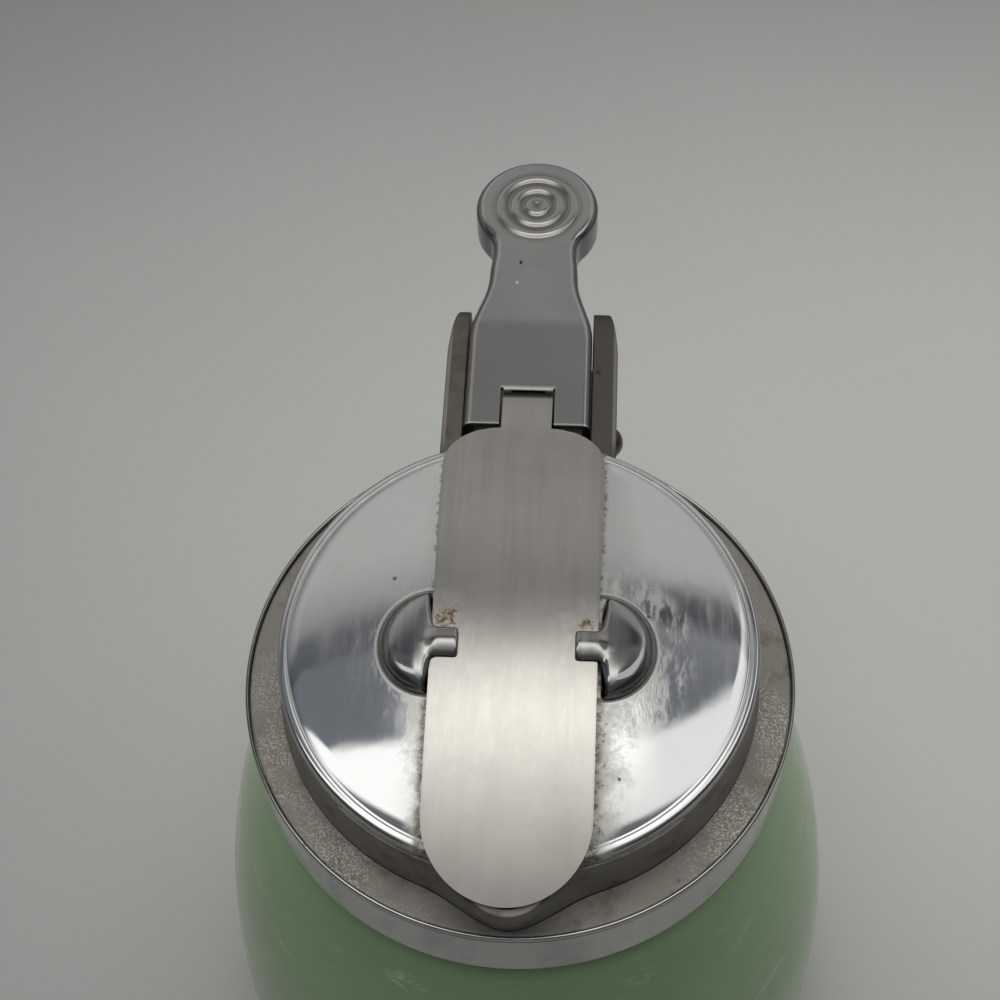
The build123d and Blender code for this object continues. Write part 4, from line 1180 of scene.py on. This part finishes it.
    def ear(self, side: Side) -> bpy.types.Object:
        """Presses one guide ear from a grid trimmed to its outline.

        Args:
            side: the side that it stands on.

        Returns:
            The ear.
        """
        bm = bmesh.new()
        cells_u = round((self.ear_radius + self.tab_reach) / self.ear_cell / 2) + 1
        cells_w = round(self.ear_radius / self.ear_cell) + 1
        middle = (self.ear_radius - self.tab_reach) / 2
        place = Matrix.Translation((middle, 0, 0)) @ Matrix.Diagonal(
            (cells_u * self.ear_cell, cells_w * self.ear_cell, 1, 1)
        )
        bmesh.ops.create_grid(bm, x_segments=2 * cells_u, y_segments=2 * cells_w, size=1, matrix=place)
        outside = [f for f in bm.faces if all(self.ear_outline(v.co.x, v.co.y) < 0 for v in f.verts)]
        bmesh.ops.delete(bm, geom=outside, context="FACES")
        for _ in range(3):
            for vert in bm.verts:
                u, w = vert.co.x, vert.co.y
                gap = self.ear_outline(u, w)
                if gap < 0 or (vert.is_boundary and gap > 1e-4):
                    step = 0.01
                    slope_u = (self.ear_outline(u + step, w) - self.ear_outline(u - step, w)) / (2 * step)
                    slope_w = (self.ear_outline(u, w + step) - self.ear_outline(u, w - step)) / (2 * step)
                    size = max(slope_u**2 + slope_w**2, 0.25)
                    vert.co.x -= gap * slope_u / size
                    vert.co.y -= gap * slope_w / size
        for vert in bm.verts:
            u, w = vert.co.x, vert.co.y
            x = self.ear_x + u
            vert.co = (x, self.ear_y + w, self.ear_height(u, w, x))
        bmesh.ops.remove_doubles(bm, verts=bm.verts, dist=0.02)
        thickened(bm, self.ear_sheet)
        if side is Side.LEFT:
            bmesh.ops.scale(bm, vec=(-1, 1, 1), verts=bm.verts)
        bmesh.ops.recalc_face_normals(bm, faces=bm.faces)
        return finished_piece(
            bm, f"guide_ear_{side.name.lower()}", self.ear_finish, Body.TOP, 60
        )

    def build(self) -> None:
        """Builds the plate and both ears."""
        self.plate()
        for side in Side:
            self.ear(side)


@dataclass
class PourGate:
    """Bowed strip with a round tip, round shoulders and a slotted neck."""

    bow: Bow
    finish: bpy.types.Material
    half_width: float = 10.7
    tip: float = -36.2
    shoulder_end: float = 33.2
    shoulder_round: float = 7.2
    neck_half: float = 3.5
    neck_end: float = 43.8
    slot_half: float = 2.6
    slot_from: float = 40.1
    slot_to: float = 41.9
    sheet: float = 0.8
    aside: float = -0.3
    rear_widening: float = 0.035
    neck_lift: float = 1.05

    def lift(self, y: float) -> float:
        """How far the neck lies above the arc, which it leaves to run under the lever.

        Args:
            y: place along the gate.

        Returns:
            The height above the arc.
        """
        share = min(max((y - 32.0) / 7.5, 0.0), 1.0)
        return self.neck_lift * share * share * (3 - 2 * share)

    def build(self) -> bpy.types.Object:
        """Draws the outline, bows it and gives it its thickness.

        Returns:
            The gate.
        """
        tip_centre = self.tip + self.half_width
        shoulder = self.shoulder_end - self.shoulder_round
        inner = self.half_width - self.shoulder_round
        wire = Wire((self.half_width, tip_centre, 0))
        wire.arc((0, tip_centre, 0), (0, 0, -1), 180, 64)
        wire.to((-self.half_width, shoulder, 0))
        wire.arc((-inner, shoulder, 0), (0, 0, -1), 90, 20)
        wire.to((-self.neck_half, self.neck_end, 0)).to((self.neck_half, self.neck_end, 0))
        wire.to((inner, self.shoulder_end, 0))
        wire.arc((inner, shoulder, 0), (0, 0, -1), 90, 20)
        bm = wire.closed().face()
        bmesh.ops.remove_doubles(bm, verts=bm.verts, dist=1e-3)
        slice_at(bm, (1, 0, 0), (-self.slot_half, 0, self.slot_half))
        slice_at(bm, (0, 1, 0), (self.slot_from, self.slot_to))
        slot = [
            f
            for f in bm.faces
            if abs(f.calc_center_median().x) < self.slot_half
            and self.slot_from < f.calc_center_median().y < self.slot_to
        ]
        bmesh.ops.delete(bm, geom=slot, context="FACES")
        corners = {round(v.co.y, 3) for v in bm.verts}
        slice_at(bm, (0, 1, 0), sorted(corners | set(steps_between(self.tip, self.neck_end, 80))))
        bmesh.ops.remove_doubles(bm, verts=bm.verts, dist=2e-3)
        for vert in bm.verts:
            y = vert.co.y
            wider = 1 + self.rear_widening * min(max(y / 20, 0.0), 1.0) * (y < self.shoulder_end - 0.5)
            vert.co = (vert.co.x * wider + self.aside, y, self.bow.height(y, self.bow.gate_outer) + self.lift(y))
        thickened(bm, self.sheet)
        gate = finished_piece(bm, "pour_gate", self.finish, Body.GATE, 20)
        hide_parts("gate")
        return gate


@dataclass
class ThumbLever:
    """Pressed lever with down-turned edges, a bent neck and a ringed pad."""

    finish: bpy.types.Material
    pad_finish: bpy.types.Material
    aside: float = -0.34
    top: float = 119.9
    front: float = 34.1
    front_half: float = 8.9
    bend: float = 52.1
    body_end: float = 49.2
    bend_degrees: float = 2.6
    neck: float = 61.0
    neck_half: float = 6.5
    pad_centre: float = 74.7
    pad_radius: float = 9.18
    pad_join: float = 40.0
    skirt: float = 3.4
    pad_skirt: float = 5.4
    back_skirt: float = 3.0
    edge_round: float = 1.25
    sheet: float = 0.8
    notch_half: float = 3.85
    notch_end: float = 40.3
    tongue_half: float = 2.4
    tongue_foot: float = 114.9
    rings_ahead: float = 0.3
    button: float = 1.25
    ring_crests: tuple[float, ...] = (3.4, 5.6)
    ring_pitch: float = 2.2
    ring_height: float = 0.27
    pin_y: float = 41.2
    pin_z: float = 105.0
    eye_radius: float = 3.6
    ear_outer: float = 8.6

    def outline(self) -> bmesh.types.BMesh:
        """Draws half of the outline, fills it and mirrors it; it runs past the front, which is cut later.

        Returns:
            The flat sheet, where the rounding of its edges begins.
        """
        z = self.top - self.edge_round
        join = math.radians(self.pad_join)
        joined = Vector((self.pad_radius * math.cos(join), self.pad_centre - self.pad_radius * math.sin(join), z))
        way = Vector((math.sin(join), math.cos(join), 0))
        start, waist = Vector((self.front_half, self.body_end, z)), Vector((self.neck_half, self.neck, z))
        wire = Wire((0, self.front - 4, z))
        wire.to((self.front_half, self.front - 4, z))
        wire.to((self.front_half, self.front, z))
        wire.to(start)
        wire.curve(start + Vector((0, 4.6, 0)), waist - Vector((-0.1, 4.6, 0)), waist, 18)
        wire.curve(waist + Vector((-0.05, 3.4, 0)), joined - way * 2.3, joined, 12)
        wire.arc((0, self.pad_centre, z), (0, 0, 1), 90 + self.pad_join, 48)
        bm = wire.closed().face()
        geom = [*bm.verts, *bm.edges, *bm.faces]
        bmesh.ops.mirror(bm, geom=geom, matrix=Matrix.Identity(4), merge_dist=0.002, axis="X")
        bmesh.ops.dissolve_edges(bm, edges=[e for e in bm.edges if not e.is_boundary], use_verts=False)
        bmesh.ops.recalc_face_normals(bm, faces=bm.faces)
        if bm.faces[:][0].normal.z < 0:
            bmesh.ops.reverse_faces(bm, faces=bm.faces)
        return bm

    def skirt_depth(self, y: float) -> float:
        """Depth of the down-turned edge at a place along the lever.

        Args:
            y: the place.

        Returns:
            The depth.
        """
        widening = min(max((y - self.neck + 4) / 9, 0.0), 1.0)
        fading = min(max((y - self.pad_centre) / self.pad_radius, 0.0), 1.0)
        widening = widening * widening * (3 - 2 * widening)
        depth = self.skirt + (self.pad_skirt - self.skirt) * widening
        return depth + (self.back_skirt - depth) * fading

    def shell(self) -> bmesh.types.BMesh:
        """Turns the sheet's edges down, cuts its front and its notch and gives it its thickness.

        Returns:
            The formed sheet.
        """
        bm = self.outline()
        rim = [e for e in bm.edges if e.is_boundary]
        turned = bmesh.ops.extrude_edge_only(bm, edges=rim)
        for vert in (v for v in turned["geom"] if isinstance(v, bmesh.types.BMVert)):
            vert.co.z = self.top - self.skirt_depth(vert.co.y)
        flat = max(bm.faces, key=lambda f: len(f.verts))
        steps = 8
        for step in range(steps):
            low, high = (math.radians(90 * (step + k) / steps) for k in (0, 1))
            inward = self.edge_round * (math.cos(low) - math.cos(high))
            upward = self.edge_round * (math.sin(high) - math.sin(low))
            bmesh.ops.inset_region(
                bm, faces=[flat], thickness=inward, depth=upward, use_even_offset=True, use_boundary=True
            )
        bmesh.ops.inset_region(bm, faces=[flat], thickness=0.12, depth=0.0, use_even_offset=True, use_boundary=True)
        geom = [*bm.verts, *bm.edges, *bm.faces]
        bmesh.ops.bisect_plane(
            bm, geom=geom, dist=1e-4, plane_co=(0, self.front, 0), plane_no=(0, 1, 0), clear_inner=True
        )
        slice_at(bm, (1, 0, 0), (-self.notch_half, self.notch_half))
        slice_at(bm, (0, 1, 0), (self.notch_end,))
        notch = [
            f
            for f in bm.faces
            if abs(f.calc_center_median().x) < self.notch_half and f.calc_center_median().y < self.notch_end
        ]
        bmesh.ops.delete(bm, geom=notch, context="FACES")
        slice_at(bm, (0, 1, 0), (self.bend - 1.2, self.bend - 0.6, self.bend, self.bend + 0.6, self.bend + 1.2))
        thickened(bm, self.sheet)
        soften_edges(bm, 0.26, 60, 3)
        return bm

    def bend_down(self, bm: bmesh.types.BMesh) -> None:
        """Bends the neck and the pad down about the bend line.

        Args:
            bm: the mesh, before the bend.
        """
        for vert in bm.verts:
            share = min(max((vert.co.y - self.bend + 1.2) / 2.4, 0.0), 1.0)
            if share > 0:
                turn = Matrix.Rotation(-math.radians(self.bend_degrees) * share, 3, "X")
                pivot = Vector((0, self.bend, self.top))
                vert.co = pivot + turn @ (vert.co - pivot)

    def pad(self) -> bpy.types.Object:
        """Spins the pad's rings and its dimpled button.

        Returns:
            The ringed pad.
        """
        z = self.top + 0.02
        high = z + self.ring_height
        half = self.ring_pitch / 2
        wire = Wire((0, 0, z + 0.12))
        wire.curve((0.4, 0, z + 0.12), (self.button - 0.6, 0, high), (self.button, 0, high), 6)
        low = self.ring_crests[0] - half
        wire.curve((self.button + 0.5, 0, high), (low - 0.5, 0, z), (low, 0, z), 8)
        for crest in self.ring_crests:
            wire.curve((crest - 0.6, 0, z), (crest - 0.5, 0, high), (crest, 0, high), 8)
            wire.curve((crest + 0.5, 0, high), (crest + 0.6, 0, z), (crest + half, 0, z), 8)
        last = self.ring_crests[-1] + half
        wire.curve((last + 0.3, 0, z), (last + 0.4, 0, z - 0.01), (last + 0.75, 0, z - 0.05), 5)
        wire.to((last + 0.85, 0, z - 0.3))
        bm = spun(wire, 128)
        bmesh.ops.translate(bm, vec=(0, self.pad_centre - self.rings_ahead, 0), verts=bm.verts)
        if sum(f.normal.z for f in bm.faces) < 0:
            bmesh.ops.reverse_faces(bm, faces=bm.faces)
        self.bend_down(bm)
        bmesh.ops.translate(bm, vec=(self.aside, 0, 0), verts=bm.verts)
        return finished_piece(bm, "thumb_pad_rings", self.pad_finish, Body.LEVER, 60)

    def add_ear_plates(self, bm: bmesh.types.BMesh) -> None:
        """Adds the plates that hold the lever on its pin.

        Args:
            bm: the lever's mesh.
        """
        for side in Side:
            x = side.value * (self.ear_outer - self.sheet)
            wire = Wire((x, self.pin_y + self.eye_radius, self.top - self.sheet))
            wire.to((x, self.pin_y + self.eye_radius, self.pin_z))
            wire.arc((x, self.pin_y, self.pin_z), (-1, 0, 0), 180, 24)
            wire.to((x, self.pin_y - self.eye_radius, self.top - self.sheet))
            plate = wire.closed().face()
            grown = bmesh.ops.extrude_face_region(plate, geom=plate.faces[:])
            verts = [v for v in grown["geom"] if isinstance(v, bmesh.types.BMVert)]
            bmesh.ops.translate(plate, vec=(side.value * self.sheet, 0, 0), verts=verts)
            bmesh.ops.recalc_face_normals(plate, faces=plate.faces)
            soften_edges(plate, 0.1, 60)
            joined_in(bm, plate)

    def build(self) -> bpy.types.Object:
        """Builds the lever and its pad.

        Returns:
            The lever.
        """
        bm = self.shell()
        self.bend_down(bm)
        block(
            bm,
            (-self.tongue_half, self.notch_end, self.tongue_foot),
            (self.tongue_half, self.notch_end + self.sheet, self.top - 0.4),
            0.12,
        )
        self.add_ear_plates(bm)
        bmesh.ops.translate(bm, vec=(self.aside, 0, 0), verts=bm.verts)
        lever = finished_piece(bm, "lever_plate", self.finish, Body.LEVER, 12.5)
        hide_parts("thumb_lever")
        self.pad()
        return lever


@dataclass
class Collar:
    """Screw ring with its thin rolled lip, and the face of the casting's flange inside that lip."""

    ring_finish: bpy.types.Material
    casting_finish: bpy.types.Material
    radius: float = 37.0
    top: float = 110.0
    bottom: float = 98.5
    lip_inner: float = 36.5
    pocket: float = 36.2
    bore: float = 34.8
    pocket_floor: float = 106.7
    flange_level: float = 109.5
    flange_bottom: float = 108.75

    def ring(self) -> bpy.types.Object:
        """Spins the ring.

        Returns:
            The ring.
        """
        wire = Wire((self.bore, 0, self.bottom))
        wire.to((self.radius, 0, self.bottom), 0.5, 4)
        wire.to((self.radius, 0, self.bottom + 0.8)).to((self.radius, 0, self.top - 0.5))
        wire.to((self.radius, 0, self.top), 0.24, 4)
        wire.to((self.lip_inner, 0, self.top), 0.2, 3)
        wire.to((self.lip_inner, 0, self.flange_bottom - 0.05))
        wire.to((self.pocket, 0, self.flange_bottom - 0.05))
        wire.to((self.pocket, 0, self.pocket_floor))
        wire.to((self.bore, 0, self.pocket_floor))
        ring = finished_piece(
            spun(wire.closed(), 160), "collar_ring", self.ring_finish, Body.RING, 50
        )
        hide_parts("screw_ring")
        return ring

    def flange_face(self) -> bpy.types.Object:
        """Spins the face of the flange.

        Returns:
            The face.
        """
        outer = self.lip_inner - 0.07
        wire = Wire((31.2, 0, self.flange_bottom))
        wire.to((outer, 0, self.flange_bottom))
        wire.to((outer, 0, self.flange_level), 0.3, 3)
        wire.to((outer - 0.5, 0, self.flange_level + 0.02)).to((32.6, 0, self.flange_level))
        wire.to((31.2, 0, self.flange_level))
        face = spun(wire.closed(), 160)
        return finished_piece(face, "flange_face", self.casting_finish, Body.TOP, 40)

    def build(self) -> None:
        """Builds the ring and the flange's face."""
        self.ring()
        self.flange_face()


@dataclass
class NoseFoot:
    """Flare where the pouring nose spreads into the skirt and the flange."""

    finish: bpy.types.Material
    rails: tuple[tuple[float, float, float, float, float], ...] = (
        (109.52, 11.5, 7.3, 3.6, 35.75),
        (110.3, 10.9, 7.1, 3.7, 35.8),
        (111.6, 10.0, 6.8, 4.0, 35.95),
        (114.4, 8.6, 6.2, 4.5, 36.4),
    )
    skirt: float = 32.25
    skirt_lean: float = 0.08
    sheet: float = 0.6

    def rail(self, z: float, spread: float, bend: float, tip: float, reach: float) -> bmesh.types.BMesh:
        """Draws one level of the flare.

        Args:
            z: its level.
            spread: half width where it leaves the skirt.
            bend: half width where it turns towards the nose.
            tip: half width of the nose's round front.
            reach: distance of the nose's front from the axis.

        Returns:
            The level's chain of edges.
        """
        radius = self.skirt - self.skirt_lean * (z - self.rails[0][0])
        back = -math.sqrt(radius**2 - spread**2)
        slope = spread / radius
        turn = back - (spread - bend) * slope
        wire = Wire((-spread, back, z))
        wire.curve((-bend, turn, z), (-tip, -reach, z), (0, -reach, z), 18)
        wire.curve((tip, -reach, z), (bend, turn, z), (spread, back, z), 18)
        return wire.bm

    def build(self) -> bpy.types.Object:
        """Joins the levels and gives the flare its thickness.

        Returns:
            The flare.
        """
        bm = bmesh.new()
        for rail in self.rails:
            joined_in(bm, self.rail(*rail))
        levels = [[e for e in bm.edges if abs(e.verts[0].co.z - rail[0]) < 0.01] for rail in self.rails]
        for lower, upper in zip(levels, levels[1:]):
            bmesh.ops.bridge_loops(bm, edges=lower + upper)
        thickened(bm, self.sheet)
        return finished_piece(bm, "nose_foot", self.finish, Body.TOP, 50)


@dataclass
class BracketCheek:
    """Cast cheek beside the lever, with softened edges and a rounded top at its rear."""

    finish: bpy.types.Material
    inner: float = 9.32
    inner_right: float = 8.65
    outer: float = 12.3
    front: float = 29.4
    level: float = 117.8
    over_ring: float = 110.62
    behind_ring: float = 37.82
    bottom: float = 98.52
    end: float = 57.0
    rear_round: float = 4.0
    narrowing: float = 1.5
    narrow_from: float = 46.5

    def build(self, side: Side) -> bpy.types.Object:
        """Draws the cheek's outline and gives it its thickness.

        Args:
            side: the side that it stands on.

        Returns:
            The cheek.
        """
        inner = self.inner if side is Side.LEFT else self.inner_right
        wire = Wire((inner, self.front, self.over_ring))
        wire.to((inner, self.behind_ring, self.over_ring))
        wire.to((inner, self.behind_ring, self.bottom))
        wire.to((inner, self.end, self.bottom), 1.5, 4)
        wire.to((inner, self.end, self.level), self.rear_round, 8)
        wire.to((inner, self.front, self.level + 0.25))
        bm = wire.closed().face()
        slice_at(bm, (0, 1, 0), steps_between(self.narrow_from, self.end, 8))
        grown = bmesh.ops.extrude_face_region(bm, geom=bm.faces[:])
        verts = [v for v in grown["geom"] if isinstance(v, bmesh.types.BMVert)]
        bmesh.ops.translate(bm, vec=(self.outer - inner, 0, 0), verts=verts)
        for vert in verts:
            share = min(max((vert.co.y - self.narrow_from) / (self.end - self.narrow_from), 0.0), 1.0)
            vert.co.x -= self.narrowing * share * share
        bmesh.ops.recalc_face_normals(bm, faces=bm.faces)
        soften_edges(bm, 0.38, 50, 3)
        if side is Side.LEFT:
            bmesh.ops.scale(bm, vec=(-1, 1, 1), verts=bm.verts)
            bmesh.ops.reverse_faces(bm, faces=bm.faces)
        name = f"bracket_cheek_{side.name.lower()}"
        return finished_piece(bm, name, self.finish, Body.TOP, 14)


# ---------------------------------------------------------------- studio


@dataclass
class Studio:
    """Pale floor, soft light from above and behind, and the camera."""

    camera_place: Point = (0.009361, -0.121652, 0.351629)
    camera_turn: Point = (31.78796, 1.46584, 2.72764)
    lens: float = 72.0
    floor_colour: Colour = (0.45, 0.45, 0.437)
    floor_far: Colour = (0.2, 0.202, 0.198)
    low_light: Colour = (0.65, 0.64, 0.62)
    high_light: Colour = (0.235, 0.25, 0.275)
    band_dark: Colour = (0.03, 0.035, 0.05)
    panel_light: Colour = (1.0, 0.985, 0.93)
    backdrop: Colour = (0.22, 0.22, 0.215)
    peak: float = 2.5
    middle: tuple[tuple[float, float], ...] = (
        (-70, 0.42),
        (-50, 0.5),
        (-45, 0.52),
        (-40, 0.46),
        (-36, 0.33),
        (-31, 0.27),
        (-27, 0.5),
        (-24, 1.1),
        (-20, 2.0),
        (-14, 2.3),
        (-8, 1.9),
        (-1, 1.35),
        (6, 0.9),
        (13, 0.6),
        (22, 0.36),
        (38, 0.18),
        (50, 0.13),
    )
    haze_left: float = 1.5
    haze_right: float = 1.05

    def camera(self) -> None:
        """Places the camera at the photograph's viewing angle."""
        data = bpy.data.cameras.new("camera")
        data.lens = self.lens
        data.sensor_width = 36.0
        data.clip_start = 0.01
        camera = bpy.data.objects.new("camera", data)
        camera.location = self.camera_place
        camera.rotation_euler = [math.radians(a) for a in self.camera_turn]
        bpy.context.scene.collection.objects.link(camera)
        bpy.context.scene.camera = camera

    def floor(self) -> None:
        """Makes the floor and its material, with a painted pool of light that darkens away from a spot near the
        object.
        """
        bm = bmesh.new()
        bmesh.ops.create_circle(bm, cap_ends=True, radius=4.0, segments=96)
        mesh = bpy.data.meshes.new("floor")
        bm.to_mesh(mesh)
        bm.free()
        floor = bpy.data.objects.new("floor", mesh)
        material = bpy.data.materials.new("paper_floor")
        material.use_nodes = True
        g = Graph(material.node_tree)
        shader = material.node_tree.nodes["Principled BSDF"]
        place, _ = object_place(g)
        # Painted pool of light: the floor's colour fades to the darker far colour away from a spot near the object,
        # with a little mottling.
        centred = g.stretched(place, (0.6, 1, 1), (-0.06, -0.08, 0))
        away = g.node("ShaderNodeVectorMath", {0: centred}, operation="LENGTH").outputs["Value"]
        fade = g.ramp(away, 0.03, 0.26)
        mottle_and_light_falloff = g.math("MULTIPLY_ADD", g.math("SUBTRACT", g.noise(place, 9, 2.0), 0.5), 0.15, fade, clamp=True)
        g.feed(shader.inputs["Base Color"], g.mix(mottle_and_light_falloff, self.floor_colour, self.floor_far))
        shader.inputs["Roughness"].default_value = 0.8
        shader.inputs["Specular IOR Level"].default_value = 0.1
        mesh.materials.append(material)
        bpy.context.scene.collection.objects.link(floor)

    def fill_lamp(self) -> None:
        """Hangs a broad lamp overhead that matt surfaces see and polished ones don't mirror."""
        data = bpy.data.lights.new("overhead", "AREA")
        data.shape = "DISK"
        data.size = 1.0
        data.energy = 6.7
        lamp = bpy.data.objects.new("overhead", data)
        lamp.location = (-0.05, 0.1, 1.2)
        lamp.visible_glossy = False
        bpy.context.scene.collection.objects.link(lamp)

    def light(self) -> None:
        """Builds the surround: pale low down, dimmer overhead, with a soft panel above."""
        world = bpy.data.worlds.new("studio")
        world.use_nodes = True
        bpy.context.scene.world = world
        g = Graph(world.node_tree)
        way = g.node("ShaderNodeTexCoord").outputs["Generated"]
        x, y, z = g.node("ShaderNodeSeparateXYZ", {0: way}).outputs
        up = g.math("MAXIMUM", z, 0.001)
        back = g.math("MULTIPLY", g.math("ARCTAN2", g.math("MULTIPLY", y, -1.0), up), math.degrees(1))
        side = g.math("MULTIPLY", g.math("ARCTAN2", x, up), math.degrees(1))
        aside = g.math("ABSOLUTE", side)
        slant = g.math("MULTIPLY_ADD", side, 0.11, back)
        outer = g.mix(g.ramp(back, -46, -24), self.low_light, self.high_light)
        outer = g.mix(g.ramp(back, 4, 40), outer, (0.13, 0.13, 0.135))
        band = g.math("MULTIPLY", g.ramp(slant, -38.5, -33.5), g.ramp(slant, -29.8, -28.6, 1.0, 0.0))
        band = g.math("MULTIPLY", band, g.ramp(side, -10, 10, 0.45, 0.8))
        outer = g.mix(band, outer, self.band_dark)
        right = g.math("POWER", g.math("MAXIMUM", g.math("SUBTRACT", side, 8.0), 0.0), 2.0)
        start = g.math("MULTIPLY_ADD", right, 0.0253, g.math("ADD", back, 10.0))
        haze = g.math("MULTIPLY", g.ramp(start, -1.3, 1.3), g.ramp(back, 4, 12, 1.0, 0.0))
        haze = g.math("MULTIPLY", haze, g.ramp(aside, 40, 56, 1.0, 0.0))
        haze = g.math("MULTIPLY", haze, g.ramp(side, -10, 10, self.haze_left, self.haze_right))
        lit = g.node("ShaderNodeVectorMath", {0: (*self.panel_light,), "Scale": haze}, operation="SCALE").outputs[0]
        outer = g.node("ShaderNodeVectorMath", {0: outer, 1: lit}, operation="ADD").outputs[0]
        sides = g.ramp(aside, 42, 62, 1.0, 0.4)
        outer = g.node("ShaderNodeVectorMath", {0: outer, "Scale": sides}, operation="SCALE").outputs[0]
        share = g.node("ShaderNodeMapRange", {"Value": back, "From Min": -70.0, "From Max": 50.0}).outputs[0]
        ramp = g.node("ShaderNodeValToRGB", {0: share})
        stops = ramp.color_ramp.elements
        for index, (place, value) in enumerate(self.middle):
            at = (place + 70.0) / 120.0
            stop = stops[index] if index < 2 else stops.new(at)
            stop.position = at
            tint = [1 + (c - 1) * min(value, 1.0) for c in self.panel_light]
            stop.color = (*[value / self.peak * c for c in tint], 1.0)
        inner = g.node("ShaderNodeVectorMath", {0: ramp.outputs[0], "Scale": self.peak}, operation="SCALE").outputs[0]
        total = g.mix(g.ramp(aside, 13, 21), inner, outer)
        seen = g.node("ShaderNodeLightPath").outputs["Is Camera Ray"]
        total = g.mix(seen, total, self.backdrop)
        background = world.node_tree.nodes["Background"]
        g.feed(background.inputs["Color"], total)
        background.inputs["Strength"].default_value = 1.0

    def build(self) -> None:
        """Sets up the camera, the floor and the light."""
        self.camera()
        self.floor()
        self.fill_lamp()
        self.light()
        bpy.context.scene.view_settings.view_transform = "Standard"


def main() -> None:
    """Builds and dresses every piece in order."""
    logging.basicConfig(level=logging.INFO, format="%(name)s: %(message)s")
    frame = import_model()
    Studio().build()
    bow = Bow()
    bright = RingPlate("ring_plate", (0.52, 0.52, 0.505), 0.1, dull_and_side_shade=(0.25, 0.255, 0.245)).material()
    dome = DomePlate("dome_plate_bright", (0.56, 0.565, 0.57), 0.05).material()
    ears = BrightPlate("ear_plate_bright", (0.29, 0.29, 0.29), 0.04).material()
    casting = DullCasting("top_casting_dull", (0.25, 0.233, 0.21), 0.5, 0.4).material()
    cheek_casting = DullCasting("cheek_casting_dull", (0.14, 0.128, 0.112), 0.38).material()
    # Painted shade: the right cheek gets a darker copy of the cheek casting.
    cheek_shadowed = DullCasting("cheek_casting_shaded", (0.1, 0.093, 0.083), 0.42).material()
    gate_steel = GateSteel("gate_steel", (0.455, 0.438, 0.42), 0.21, shade=(0.385, 0.368, 0.352)).material()
    lever_steel = LeverSteel("lever_steel", (0.38, 0.375, 0.37), 0.15, shade=(0.33, 0.325, 0.32)).material()
    pad_steel = PadSteel(
        "pad_steel", (0.38, 0.375, 0.365), 0.21, shade=(0.33, 0.325, 0.315), lines=0.02, streaks=0.02
    ).material()
    plain_steel = BrushedSteel("pin_steel", (0.15, 0.145, 0.13), 0.32, shade=(0.08, 0.07, 0.055)).material()
    handle_plate = BrightPlate("handle_plate", (0.42, 0.41, 0.395), 0.22).material()
    rubber = SealRubber("gasket_rubber_black", (0.02, 0.02, 0.02), 0.75, 0.0).material()
    glass = JadeGlass("jade_glass", (0.275, 0.42, 0.225), 0.12, 0.0, deep=(0.24, 0.37, 0.195)).material()
    dress_node(frame, "jar", glass)
    dress_node(frame, "neck_gasket", rubber)
    dress_node(frame, "top_casting", casting)
    dress_node(frame, "lever_pin", plain_steel)
    dress_node(frame, "lever_spring", plain_steel)
    dress_node(frame, "handle", handle_plate)
    dress_node(frame, "handle_screws", plain_steel)
    Collar(bright, casting).build()
    NoseFoot(casting).build()
    BracketCheek(cheek_casting).build(Side.LEFT)
    BracketCheek(cheek_shadowed).build(Side.RIGHT)
    DomedLid(bow, dome, ears).build()
    PourGate(bow, gate_steel).build()
    ThumbLever(lever_steel, pad_steel).build()


if __name__ == "__main__":
    main()
